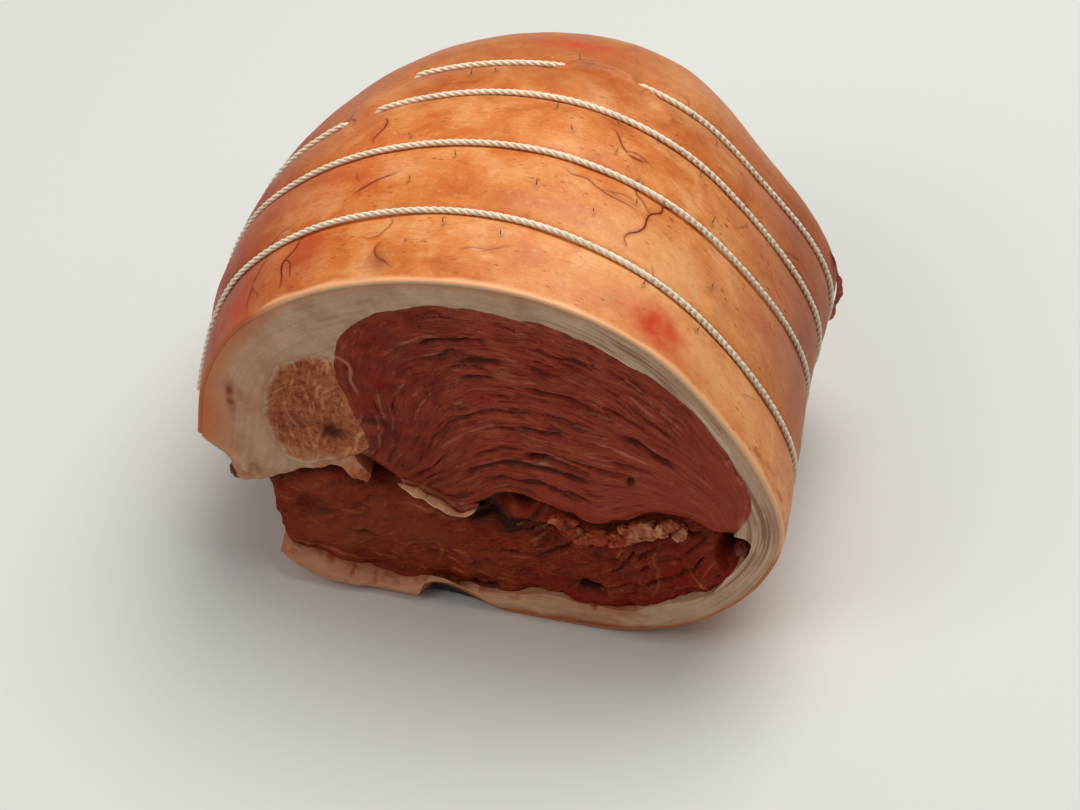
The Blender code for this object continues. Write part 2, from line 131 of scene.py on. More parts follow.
# The large blotches: place round the joint, distance behind the face, radius round, radius along, strength.
RED_BLOTCHES = (
    (6, 9, 8, 6, 1.0), (4.5, 118, 12, 5, 0.8), (2.8, 15, 8, 9, 0.45), (2, 6, 8, 6, 0.5),
    (3.2, 45, 14, 16, 0.25),
)
DARK_BLOTCHES = (
    (3.6, 7, 3, 4, 0.75), (2.8, 14, 5, 6, 0.5), (7.7, 62, 6, 16, 0.5), (2, 70, 12, 16, 0.3),
    (1.6, 16, 14, 12, 0.3),
)
# Pale spots, partly paler skin and partly painted light: the two wide ones to the right of the top are
# painted where the light falls fullest.
PALE_SKIN_AND_PAINTED_LIGHT = (
    (5.9, 24, 26, 18, 0.75), (6.4, 12, 28, 10, 0.75), (5.6, 112, 12, 14, 0.5), (4, 9, 3, 0.7, 1.0),
    (4.5, 10, 2.5, 0.5, 0.8),
)
SMALL_BLOTCHES = 6  # strewn spots of each kind


def linear(code):
    """Scene-linear colour of an sRGB hex value, opaque."""
    c = [int(code[k : k + 2], 16) / 255 for k in (1, 3, 5)]
    return (*(v / 12.92 if v <= 0.04045 else ((v + 0.055) / 1.055) ** 2.4 for v in c), 1.0)


# ---------------------------------------------------------------- the section and its sweep


def smooth(v):
    """The smoothstep 3v^2 - 2v^3 of v held between 0 and 1."""
    v = np.clip(v, 0, 1)
    return v * v * (3 - 2 * v)


def catmull(points, t):
    """Catmull-Rom curve through the points; t counts points, so 2.5 is half way from point 2 to point 3."""
    points = np.asarray(points, float)
    last = len(points) - 1
    i = np.clip(np.floor(t).astype(int), 0, last - 1)
    f = (np.asarray(t, float) - i)[:, None]
    a, b, c, d = (points[np.clip(i + k, 0, last)] for k in (-1, 0, 1, 2))
    return 0.5 * (2 * b + (c - a) * f + (2 * a - 5 * b + 4 * c - d) * f**2 + (3 * b - a - 3 * c + d) * f**3)


def even(points, step):
    """The same curve sampled about every step millimetres, ends included."""
    dense = catmull(points, np.linspace(0, len(points) - 1, 60 * len(points)))
    run = np.r_[0, np.cumsum(np.linalg.norm(np.diff(dense, axis=0), axis=1))]
    at = np.linspace(0, run[-1], max(2, round(run[-1] / step) + 1))
    return np.stack([np.interp(at, run, dense[:, k]) for k in range(dense.shape[1])], 1)


def station(values, y):
    """Smooth curve through (STATIONS, values): a cubic between stations, sloped by their neighbours."""
    ys, vs = np.array(STATIONS, float), np.array(values, float)
    slope = np.gradient(vs, ys)
    y = np.clip(y, ys[0], ys[-1])
    i = np.clip(np.searchsorted(ys, y) - 1, 0, len(ys) - 2)
    h = ys[i + 1] - ys[i]
    t = (y - ys[i]) / h
    return (
        (2 * t**3 - 3 * t**2 + 1) * vs[i]
        + (t**3 - 2 * t**2 + t) * h * slope[i]
        + (3 * t**2 - 2 * t**3) * vs[i + 1]
        + (t**3 - t**2) * h * slope[i + 1]
    )


def squeeze(x, z, y):
    """Where the point drawn at (x, z) lies at distance y behind the cut face, scaled by stations."""
    x, z, y = (np.asarray(v, float) for v in (x, z, y))
    right = 1 / (1 + np.exp(-x / 15))
    angle = np.arctan2(z - 60, x)
    shoulder = (
        np.exp(-(((angle - math.radians(36)) / math.radians(22)) ** 2))
        * np.minimum(np.hypot(x, z - 60) / 80, 1.1) ** 2
    )
    drop = station(SHOULDER_DROP, y) * shoulder
    wide = right * station(RIGHT_SCALE, y) + (1 - right) * station(LEFT_SCALE, y)
    return np.stack(
        [
            x * wide + station(DRIFT, y) * np.minimum(z / 20, 1) - 0.6 * drop, y,
            z * station(HEIGHT_SCALE, y) - drop,
        ],
        -1
    )


def back(x, z):
    """Distance of the back end behind the cut face: leaning, and cut off obliquely towards the right."""
    return LENGTH_TOP + LENGTH_LEAN * (z - 60) / 70 - LENGTH_SKEW * smooth((x - 10) / 85)


def bump(x, z, cx, cz, rx, rz):
    """1 at (cx, cz), falling smoothly to 0 at an ellipse of half axes rx and rz."""
    return smooth(1 - np.hypot((x - cx) / rx, (z - cz) / rz))


def bumps(x, z, *rows):
    """Several bumps added up, each given as (strength, cx, cz, rx, rz)."""
    return sum(strength * bump(x, z, *shape) for strength, *shape in rows)


def ripple(x, z, size):
    """Soft uneven relief of about -1 to 1, from four crossing waves."""
    k = 2 * math.pi / size
    return 0.4 * (
        np.sin(k * (x + 0.3 * z) + 1.1)
        + np.sin(k * (0.8 * z - 0.5 * x) * 1.3 + 2.3)
        + 0.7 * np.sin(k * (1.7 * x - 0.4 * z) * 1.1 + 0.4)
        + 0.6 * np.sin(k * (1.4 * z + 0.9 * x) * 1.6 + 5.1)
    )


def back_relief(x, z):
    """The back end bulges between its rims."""
    return 5.0 * bump(x, z, 5, 62, 92, 66) + 0.5 * ripple(x, z, 24)


def fold(x, z, y):
    """Rise of the underside where the base is pinched: a high notch at the cut face, then a low tunnel."""
    arch = smooth((x + 22.5) / 4.5) * smooth((6 - x) / 21)
    return arch * (6.3 * smooth(1 - y / 2.4) + 2.3 * smooth(1 - y / 46)) * smooth((9.5 - z) / 7)


def noise(u, v, seed):
    """Seeded random values at whole (u, v), blended between by smoothstep: 0 to 1, mean a half."""
    table = np.random.default_rng(seed).random((97, 89))
    i, j = np.floor(u).astype(int), np.floor(v).astype(int)
    f, g = smooth(u - i), smooth(v - j)
    low = table[i % 97, j % 89] * (1 - f) + table[(i + 1) % 97, j % 89] * f
    high = table[i % 97, (j + 1) % 89] * (1 - f) + table[(i + 1) % 97, (j + 1) % 89] * f
    return low * (1 - g) + high * g


def rough(u, v, seed, octaves=4):
    """Octaves of noise, each half as wide and half as strong as the last, about -1 to 1."""
    parts = [(noise(u * 2**k + 3.1 * k, v * 2**k - 1.7 * k, seed + k) - 0.5) / 2**k for k in range(octaves)]
    return 2 * sum(parts) / 1.3


def streaks(x, z, grain, seed, length, width):
    """Noise of a width, averaged over a walk of a length along the grain; mean 0, deviation 1."""
    steps = max(2, round(length / width / 1.4))
    step = length / 2 / steps
    total = noise(x / width, z / width, seed)
    for way in (-step, step):
        px, pz = x, z
        for _ in range(steps):
            dx, dz = grain(px, pz)
            px, pz = px + way * dx, pz + way * dz
            total = total + noise(px / width, pz / width, seed)
    return (total - total.mean()) / total.std()


def in_parts(work, count, points):
    """Runs work on slices of the points, so that a wide table of distances fits in memory."""
    return np.concatenate([work(points[k : k + count]) for k in range(0, len(points), count)])


def distance_to(curve, x, z):
    """Distance from each (x, z) to a sampled curve."""
    a, b = curve[:-1], curve[1:]
    d = b - a
    length = np.maximum((d * d).sum(-1), 1e-12)

    def work(p):
        t = np.clip(((p[:, None] - a) * d).sum(-1) / length, 0, 1)
        return np.linalg.norm(p[:, None] - a - t[..., None] * d, axis=-1).min(1)

    return in_parts(work, 6000, np.stack([np.ravel(x), np.ravel(z)], 1)).reshape(np.shape(x))


def inside(loop, points):
    """Which points lie inside the closed loop, by counting crossings."""
    x0, z0 = loop[:, 0], loop[:, 1]
    x1, z1 = np.roll(x0, -1), np.roll(z0, -1)

    def work(p):
        x, z = p[:, :1], p[:, 1:]
        with np.errstate(divide="ignore", invalid="ignore"):
            cross = ((z0 > z) != (z1 > z)) & (x < (x1 - x0) * (z - z0) / (z1 - z0) + x0)
        return cross.sum(1) % 2 == 1

    return in_parts(work, 6000, points)


def turning(loop):
    """+1 for a loop drawn anticlockwise, -1 for a clockwise one."""
    return np.sign(np.sum(loop[:, 0] * np.roll(loop[:, 1], -1) - np.roll(loop[:, 0], -1) * loop[:, 1]))


def inset(loop, amount):
    """The closed loop moved inwards by amount, along the mean of the two neighbouring normals."""
    before, after = loop - np.roll(loop, 1, 0), np.roll(loop, -1, 0) - loop
    n = [
        turning(loop) * np.stack([-d[:, 1], d[:, 0]], 1) / np.linalg.norm(d, axis=1, keepdims=True)
        for d in (before, after)
    ]
    mid = n[0] + n[1]
    return loop + mid * (amount / np.maximum((mid * n[0]).sum(1), 0.4))[:, None]


def ragged(line, amount, seed):
    """A line sampled every millimetre, shaken sideways by noise except near its ends."""
    run = np.arange(len(line)) * 1.0
    fade = smooth(run / 4) * smooth((run[-1] - run) / 4)
    step = np.gradient(line, axis=0)
    across = np.stack([-step[:, 1], step[:, 0]], 1) / np.linalg.norm(step, axis=1, keepdims=True)
    return line + across * (amount * fade * rough(run / 7, 0 * run, seed, 3))[:, None]


CREVICE_LINE = even(CREVICE, 2)
RIND_LINE = even(RIND, 2)
ROOF_LINE = ragged(even(ROOF, 1.0), 0.55, 401)
POCKET_LINE = ragged(even(POCKET, 1.0), 1.1, 403)
PARTING_LINE = ragged(even(PARTING, 1.0), 0.8, 405)
SHELF_LINE = ragged(even(SHELF, 0.8), 0.5, 407)
STRIP_LINE = ragged(even(STRIP, 1.0), 0.5, 409)
CREVICE_EDGE = ragged(even(CREVICE, 1.0), 0.6, 411)


# ---------------------------------------------------------------- the skin's surface


def twine_y(name, t):
    """Distance of a loop of twine behind the cut face at place t."""
    return catmull(
        np.stack([TWINE_PLACES, TWINE[name]], 1), np.interp(t, TWINE_PLACES, range(len(TWINE_PLACES)))
    )[:, 1]


def rind_point(t, y):
    """Point of the drawn skin at place t and distance y, with the base flattened onto the ground."""
    p = catmull(RIND, t)
    z = np.maximum(p[:, 1], 0)
    out = squeeze(p[:, 0], z, y)
    out[:, 2] += fold(p[:, 0], z, np.asarray(y, float))
    return out


def rind_normal(t, y):
    """Outward normal of the drawn skin, from small steps both ways; level with the face at the rim."""
    along = rind_point(np.minimum(t + 0.02, RIND_ENDS), y) - rind_point(np.maximum(t - 0.02, 0), y)
    n = np.cross(along, rind_point(t, y + 0.5) - rind_point(t, y - 0.5))
    n[:, 1] *= smooth(np.asarray(y) / 9)
    return n / np.linalg.norm(n, axis=1, keepdims=True)


def buried(name, t):
    """1 where the string runs under the skin, 0 where it lies in its groove, with soft ends."""
    return sum((smooth((t - a) / 0.16 + 0.5) * smooth((b - t) / 0.16 + 0.5) for a, b in BURIED[name]), 0 * t)


def sink(t):
    """Depth of the twine's axis under the skin: shallow in sight, deeper under the base."""
    base = smooth((t - 10.2) / 1.0)
    lift = smooth(1 - t / 0.9) + smooth((t - 14.35) / 0.6)
    return (TWINE_SINK + (TWINE_SINK_BASE - TWINE_SINK) * base) * (1 - lift) - 1.35 * lift


def groove(t, y, depth):
    """Depth of the skin pressed in by the strings: a narrow bell under each, in a wide shallow one."""
    total = 0 * t
    for name in TWINE:
        d = y - twine_y(name, t)
        held = (1 - buried(name, t)) * smooth(t / 0.8) * smooth((14.9 - t) / 0.6)
        total = (
            total
            + held
            * (
                (depth + np.maximum(sink(t) - TWINE_SINK, 0)) * np.exp(-((d / 1.75) ** 2))
                + 0.75 * np.exp(-((d / 6.5) ** 2))
            )
        )
    return total


FOLD_PLACES = np.linspace(4.5, 5.6, 30)
# A bowed fold near the back end.
FOLD_RIDGE = np.stack([FOLD_PLACES, 104 - 27 * (FOLD_PLACES - 4.85) ** 2], 1)
ROUND = 31.0  # millimetres round the joint per step of t, near enough for patterns


def skin_relief(t, y, depth):
    """Height of the finished skin over the drawn one: grooves, bulges between, dimples, a fold and a wart."""
    u = t * ROUND
    off = distance_to(FOLD_RIDGE * (ROUND, 1), u, y)
    side = y - np.interp(t, FOLD_RIDGE[:, 0], FOLD_RIDGE[:, 1])
    ridge = (
        1.5 * np.exp(-((off / 2.2) ** 2))
        - 0.9 * np.exp(-((off / 3.0) ** 2)) * (side < 0) * smooth(-side / 1.5)
    )
    uneven = 0.4 * rough(u / 26, y / 22, 11, 2) + 0.13 * rough(u / 6, y / 5, 15, 2)
    wrinkles = 0.05 * rough(u / 5.5, y / 0.95, 21, 2) * (0.4 + smooth((t - 4.6) / 1.2))
    wart = 0.9 * np.exp(-(((t - 6.44) * ROUND / 2.0) ** 2) - ((y - 29.5) / 2.2) ** 2)
    dent = -0.5 * np.exp(-(((t - 4.45) * ROUND / 6) ** 2) - ((y - 105) / 3) ** 2)
    return (
        0.45 * smooth(y / 8) - groove(t, y, depth) + (uneven + wrinkles) * smooth((y + 1) / 5) + wart + dent
        + ridge
    )


def skin_spots(t, y, blotches, seed):
    """Soft spots in the skin: bells of their own radii, the strongest counting; small ones are strewn."""
    draw = np.random.default_rng(seed)
    low, high = (2.2, 6, 1.4, 1.2, 0.2), (7.4, 108, 4, 3, 0.45)
    spots = [*blotches, *draw.uniform(low, high, (SMALL_BLOTCHES, 5))]
    bells = [s * np.exp(-(((t - a) * ROUND / ru) ** 2) - ((y - b) / rv) ** 2) for a, b, ru, rv, s in spots]
    return np.max(bells, axis=0)


def vein_course(place, distance, heading, bend, length, seed):
    """A vein in millimetres round and along the skin: it bends evenly from its heading, shaken by noise."""
    s = np.linspace(0, 1, round(length) + 1)
    turn = np.radians(heading + bend * s) + 0.95 * rough(s * length / 5, 0 * s, seed, 3)
    step = np.stack([np.cos(turn), np.sin(turn)], 1) * length / len(s)
    return np.array([place * ROUND, distance]) + np.cumsum(step, 0)


def vein_courses():
    """All veins as (darkness, course): named ones, branches of the long ones, and faint strewn ones."""
    draw = np.random.default_rng(31)
    faint = draw.uniform((2, 6, -110, -50, 6, 0.2), (7.4, 108, 60, 50, 14, 0.4), (FAINT_VEINS, 6))
    courses = []
    for k, (place, distance, heading, bend, length, dark) in enumerate([*VEINS, *faint]):
        course = vein_course(place, distance, heading, bend, length, 500 + k)
        courses.append((dark, course))
        if length > 15:
            middle = course[len(course) // 2]
            branch = vein_course(
                middle[0] / ROUND, middle[1], heading + bend / 2 + 55, -30, 0.4 * length, 600 + k
            )
            courses.append((0.7 * dark, branch))
    return courses


def vein_fields(t, y):
    """Signed and plain distance to the nearest vein, and how dark it is there, thinning at its ends."""
    p = np.stack([t * ROUND, y], 1)
    best, signed, tone = np.full(len(p), 9.0), np.full(len(p), 9.0), np.zeros(len(p))
    for dark, line in vein_courses():
        near = np.where(
            (np.abs(p - (line.max(0) + line.min(0)) / 2) < np.ptp(line, axis=0) / 2 + 6).all(1)
        )[0]
        a, d = line[:-1], np.diff(line, axis=0)
        along = np.clip(((p[near, None] - a) * d).sum(-1) / (d * d).sum(-1), 0, 1)
        off = p[near, None] - a - along[..., None] * d
        far = np.linalg.norm(off, axis=-1)
        k = far.argmin(1)
        row = np.arange(len(near))
        far, off, step = far[row, k], off[row, k], d[k]
        share = (k + along[row, k]) / len(d)
        ends = 0.45 + 0.55 * smooth(share * 5) * smooth((1 - share) * 4)
        closer = far < best[near]
        hit = near[closer]
        best[hit], tone[hit] = far[closer], dark * ends[closer]
        signed[hit] = (far * np.sign(step[:, 0] * off[:, 1] - step[:, 1] * off[:, 0]))[closer]
    return signed, best, tone


def bristle_places():
    """Place, distance and length of each bristle: at most one to a cell of a shaken grid over the top."""
    draw = np.random.default_rng(17)
    column, row = np.meshgrid(np.arange(6), np.arange(5), indexing="ij")
    cell = np.stack([column.ravel(), row.ravel()], 1) + draw.uniform(0.1, 0.9, (30, 2))
    length = 2.4 + 3.4 * draw.random(30) ** 2
    return np.stack([3.4 + 0.52 * cell[:, 0], 8 + 20 * cell[:, 1], length], 1)[draw.random(30) < 0.88]


# ---------------------------------------------------------------- meshes


def grid_triangles(rows, columns, closed=False):
    """Two triangles for each cell of a grid of rows by columns; closed joins the last row to the first."""
    i = np.arange(rows if closed else rows - 1)[:, None]
    j = np.arange(columns - 1)[None]
    a, b = i * columns + j, ((i + 1) % rows) * columns + j
    cells = np.stack([a, a + 1, b + 1, b], -1).reshape(-1, 4)
    return np.vstack([cells[:, [0, 1, 2]], cells[:, [0, 2, 3]]])


def fan(centre, ring, turned=False):
    """Triangles from one point to each edge of a closed ring of points."""
    after = np.roll(ring, -1)
    return np.stack([np.full(len(ring), centre), *((after, ring) if turned else (ring, after))], 1)


def piece(name, points, triangles, material, fields=None, replaces=(), sharp=50):
    """A mesh piece from millimetre points and triangles, with its fields, riding on the one body."""
    solid = np.asarray(points, float)
    corners = solid[triangles]
    if (corners[:, 0] * np.cross(corners[:, 1], corners[:, 2])).sum() < 0:
        triangles = triangles[:, ::-1]
    triangles = np.ascontiguousarray(triangles, np.int32)
    mesh = bpy.data.meshes.new(name)
    mesh.vertices.add(len(solid))
    mesh.vertices.foreach_set("co", ((solid + SHIFT) * MM).astype(np.float32).ravel())
    mesh.loops.add(triangles.size)
    mesh.polygons.add(len(triangles))
    mesh.polygons.foreach_set("loop_start", np.arange(len(triangles), dtype=np.int32) * 3)
    mesh.polygons.foreach_set("vertices", triangles.ravel())
    mesh.update(calc_edges=True)
    for key, values in (fields or {}).items():
        values = np.asarray(values, np.float32)
        vector = values.ndim == 2
        attribute = mesh.attributes.new(key, "FLOAT_VECTOR" if vector else "FLOAT", "POINT")
        attribute.data.foreach_set("vector" if vector else "value", values.ravel())
    mesh.shade_smooth()
    mesh.set_sharp_from_angle(angle=math.radians(sharp))
    mesh.materials.append(material)
    obj = bpy.data.objects.new(name, mesh)
    bpy.context.scene.collection.objects.link(obj)
    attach(obj, "root")
    if replaces:
        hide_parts(*replaces)
    return obj


def filling(loop, step, seed):
    """Points inside an outline, on a slightly shaken triangular lattice, and triangles over both."""
    low, high = loop.min(0), loop.max(0)
    rows = np.arange(low[1] + step / 2, high[1], step * 0.87)
    x, z = np.meshgrid(np.arange(low[0], high[0], step), rows)
    x = x + (np.arange(len(rows)) % 2)[:, None] * step / 2
    spots = (
        np.stack([x.ravel(), z.ravel()], 1)
        + np.random.default_rng(seed).uniform(-0.1, 0.1, (x.size, 2)) * step
    )
    spots = spots[inside(loop, spots)]
    spots = spots[distance_to(np.vstack([loop, loop[:1]]), spots[:, 0], spots[:, 1]) > step * 0.45]
    points = np.vstack([loop, spots])
    count = len(loop)
    edges = [(k, (k + 1) % count) for k in range(count)]
    out, _, faces, _, _, _ = delaunay_2d_cdt(list(map(Vector, points)), edges, [], 1, 1e-6, False)
    found = np.array([tuple(p) for p in out])
    if found.shape != points.shape or np.abs(found - points).max() > 1e-3:
        raise RuntimeError("the outline crosses itself, so it can't be filled")
    triangles = np.array(faces)
    return spots, triangles[inside(loop, points[triangles].mean(1))]


def loft(loop, levels, front, step, seed, outer=None):
    """Closed solid: an outline's columns run from front to back, and finely filled caps close both ends.

    Returns points, triangles, and each point's drawn (x, z) and way from the front, 0, to the back, 1.
    """
    if turning(loop) < 0:
        loop = loop[::-1]
        outer = None if outer is None else outer[::-1]
    x, z = loop.T

    def front_place(x, z):
        y = front(x, z)
        p = squeeze(x, z, np.maximum(y, 0))
        p[:, 1] = y
        p[:, 2] += fold(x, z, 0)
        return p

    def back_place(x, z):
        p = squeeze(x, z, back(x, z))
        p[:, 1] += back_relief(x, z)
        return p

    y0, y1 = front(x, z)[:, None], back(x, z)[:, None]
    y = y0 + (y1 - y0) * levels
    wall = squeeze(x[:, None] + 0 * y, z[:, None] + 0 * y, np.maximum(y, 0))
    wall[..., 1] = y
    wall[..., 2] += fold(x[:, None], z[:, None], np.maximum(y, 0))
    wall[:, -1, 1] += back_relief(x, z)
    if outer is not None:
        kept = ~np.isnan(outer[:, 0, 0])
        wall[kept] = outer[kept]
    n, m = wall.shape[:2]
    near, near_triangles = filling(loop, step, seed)
    far, far_triangles = filling(loop, step * 2, seed + 1)
    points = np.vstack([wall.reshape(-1, 3), front_place(*near.T), back_place(*far.T)])
    index_near = np.r_[np.arange(n) * m, n * m + np.arange(len(near))]
    index_far = np.r_[np.arange(n) * m + m - 1, n * m + len(near) + np.arange(len(far))]
    triangles = np.vstack(
        [grid_triangles(n, m, closed=True), index_near[near_triangles], index_far[far_triangles][:, ::-1]]
    )
    drawn = np.vstack([np.repeat(loop, m, 0), near, far])
    way = np.r_[np.tile(levels, n), np.zeros(len(near)), np.ones(len(far))]
    return points, triangles, drawn, way


def tube(path, radius, sides, closed=False, flat=1.0):
    """A round or flattened tube along a path, turned as little as possible; open ends are closed."""
    step = np.gradient(path, axis=0) if not closed else np.roll(path, -1, 0) - np.roll(path, 1, 0)
    step /= np.linalg.norm(step, axis=1, keepdims=True)
    up = np.where(np.abs(step[:, 2:]) < 0.8, [[0, 0, 1.0]], [[0, 1.0, 0]])
    across = np.cross(step, up)
    across /= np.linalg.norm(across, axis=1, keepdims=True)
    over = np.cross(across, step)
    angle = np.linspace(0, 2 * math.pi, sides, endpoint=False)
    radius = np.broadcast_to(radius, len(path))[:, None, None]
    ring = (
        path[:, None]
        + radius
        * (
            np.cos(angle)[None, :, None] * across[:, None]
            + flat * np.sin(angle)[None, :, None] * over[:, None]
        )
    )
    count = len(path)
    i = np.arange(count if closed else count - 1)[:, None]
    j = np.arange(sides)[None]
    a, b = i * sides + j, ((i + 1) % count) * sides + j
    c, d = ((i + 1) % count) * sides + (j + 1) % sides, i * sides + (j + 1) % sides
    triangles = np.vstack([np.stack([a, d, c], -1).reshape(-1, 3), np.stack([a, c, b], -1).reshape(-1, 3)])
    points = ring.reshape(-1, 3)
    if not closed:
        points = np.vstack([points, path[:1], path[-1:]])
        k = np.arange(sides)
        start, end = len(points) - 2, len(points) - 1
        last = (count - 1) * sides + k
        triangles = np.vstack([triangles, fan(start, k, turned=True), fan(end, last)])
    return points, triangles


def joined(parts):
    """Several (points, triangles) as one, each part's triangles counted on from the last."""
    starts = np.cumsum([0] + [len(p) for p, _ in parts[:-1]])
    return np.vstack([p for p, _ in parts]), np.vstack([t + s for (_, t), s in zip(parts, starts)])


def blob(centre, radii, seed, lumps=0.35, size=1.6):
    """A lump of torn fat: an ellipsoid on a grid of longitude and latitude, swollen by noise."""
    lon, lat = np.meshgrid(
        np.linspace(0, 2 * math.pi, 45)[:-1], np.linspace(-math.pi / 2, math.pi / 2, 25)[1:-1],
        indexing="ij",
    )
    d = np.stack([np.cos(lat) * np.cos(lon), np.cos(lat) * np.sin(lon), np.sin(lat)], -1)
    both = np.vstack([d.reshape(-1, 3), [[0, 0, -1.0], [0, 0, 1.0]]])
    swell = (
        1
        + lumps
        * (
            rough(both[:, 0] * size + seed, both[:, 2] * size, seed)
            + 0.6 * rough(both[:, 1] * size * 1.6, both[:, 0] * size * 1.3 + seed, seed + 9)
        )
    )
    points = np.array(centre) + both * np.array(radii) * swell[:, None]
    rows, columns = d.shape[:2]
    triangles = grid_triangles(rows, columns, closed=True)
    south, north = rows * columns, rows * columns + 1
    ring = np.arange(rows) * columns
    ends = [fan(south, ring), fan(north, ring + columns - 1, turned=True)]
    return points, np.vstack([triangles, *ends])


# ---------------------------------------------------------------- materials


def add_node(tree, kind, inputs=None, stops=None, **settings):
    """Adds one shader node with its settings, colour stops, and inputs, each a value or a socket to link."""
    node = tree.nodes.new("ShaderNode" + kind)
    for key, value in settings.items():
        setattr(node, key, value)
    if stops:
        ramp = node.color_ramp
        while len(ramp.elements) < len(stops):
            ramp.elements.new(0.5)
        for element, (place, colour) in zip(ramp.elements, stops):
            element.position = place
            element.color = linear(colour) if isinstance(colour, str) else colour
    for key, value in (inputs or {}).items():
        if isinstance(value, bpy.types.NodeSocket):
            tree.links.new(value, node.inputs[key])
        else:
            node.inputs[key].default_value = value
    return node


def layered_material(name, shader, patterns, base, layers=(), lines=None, bump=None, roughness=None):
    """One material, from rows that say what it is drawn with and how its colours lie over one another.

    patterns: name: (where, width, detail, roughness, distortion) of a noise. where is a vector field of the
    mesh, or "" for places on the object. width is that of its lumps in millimetres, or three widths along the
    field. A row without the last three numbers is a pattern of cells.
    lines: name: (source, middle), how far a source is from its middle value, which draws thin winding lines.
    base: (pattern, stops), the colours under all the others.
    layers: (colour, factors...), each laid as far as the product of its factors says. A factor is a number, a
    name, or (name, low, high), which eases from 0 at low to 1 at high. A colour without factors tints what is
    under it.
    bump: (patterns..., depth in millimetres, strength).
    roughness: (pattern, low, high, value at low, value at high).
    A name that is no pattern and no line is a field of the mesh.
    """
    material = bpy.data.materials.new(name)
    material.use_nodes = True
    tree = material.node_tree
    surface = tree.nodes["Principled BSDF"]
    for key, value in shader.items():
        surface.inputs[key].default_value = value

    sources = {}
    for pattern, (where, width, *shape) in patterns.items():
        widths, scale = (width, 1.0) if isinstance(width, tuple) else ((1, 1, 1), 1 / width)
        if where:
            places = add_node(tree, "Attribute", attribute_name=where).outputs["Vector"]
        else:
            places = add_node(tree, "TexCoord").outputs["Object"]
        unit = 1 if where else 1 / MM
        mapped = add_node(tree, "Mapping", {"Vector": places, "Scale": tuple(unit / w for w in widths)})
        inputs = {"Vector": mapped.outputs[0], "Scale": scale}
        if shape:
            inputs |= zip(("Detail", "Roughness", "Distortion"), shape)
            sources[pattern] = add_node(tree, "TexNoise", inputs).outputs["Fac"]
        else:
            inputs["Randomness"] = 1.0
            sources[pattern] = add_node(tree, "TexVoronoi", inputs).outputs["Distance"]

    named = [source for source, _ in (lines or {}).values()]
    named += [factor[0] if isinstance(factor, tuple) else factor for row in layers for factor in row[1:]]
    for field in named:
        if isinstance(field, str) and field not in sources and field not in (lines or {}):
            sources[field] = add_node(tree, "Attribute", attribute_name=field).outputs["Fac"]
    for line, (source, middle) in (lines or {}).items():
        off = add_node(tree, "Math", {0: sources[source], 1: middle}, operation="SUBTRACT").outputs[0]
        sources[line] = add_node(tree, "Math", {0: off}, operation="ABSOLUTE").outputs[0]

    colour = add_node(tree, "ValToRGB", {0: sources[base[0]]}, base[1]).outputs[0]
    for paint, *factors in layers:
        amount = 1.0
        for count, factor in enumerate(factors):
            source, *ease = factor if isinstance(factor, tuple) else (factor,)
            value = sources.get(source, source)
            if ease:
                limits = {0: value, 1: ease[0], 2: ease[1]}
                value = add_node(tree, "MapRange", limits, interpolation_type="SMOOTHSTEP").outputs[0]
            if count:
                value = add_node(tree, "Math", {0: amount, 1: value}, operation="MULTIPLY").outputs[0]
            amount = value
        inputs = {0: amount, 6: colour, 7: linear(paint) if isinstance(paint, str) else paint}
        blend = "MIX" if factors else "MULTIPLY"
        colour = add_node(tree, "Mix", inputs, data_type="RGBA", blend_type=blend).outputs[2]
    tree.links.new(colour, surface.inputs["Base Color"])

    if roughness:
        limits = dict(enumerate((sources[roughness[0]], *roughness[1:])))
        shine = add_node(tree, "MapRange", limits, interpolation_type="SMOOTHSTEP").outputs[0]
        tree.links.new(shine, surface.inputs["Roughness"])
    if bump:
        *names, depth, strength = bump
        height = sources[names[0]]
        for other in names[1:]:
            height = add_node(tree, "Math", {0: height, 1: sources[other]}, operation="ADD").outputs[0]
        inputs = {"Height": height, "Distance": depth * MM, "Strength": strength}
        tree.links.new(add_node(tree, "Bump", inputs).outputs[0], surface.inputs["Normal"])
    return material


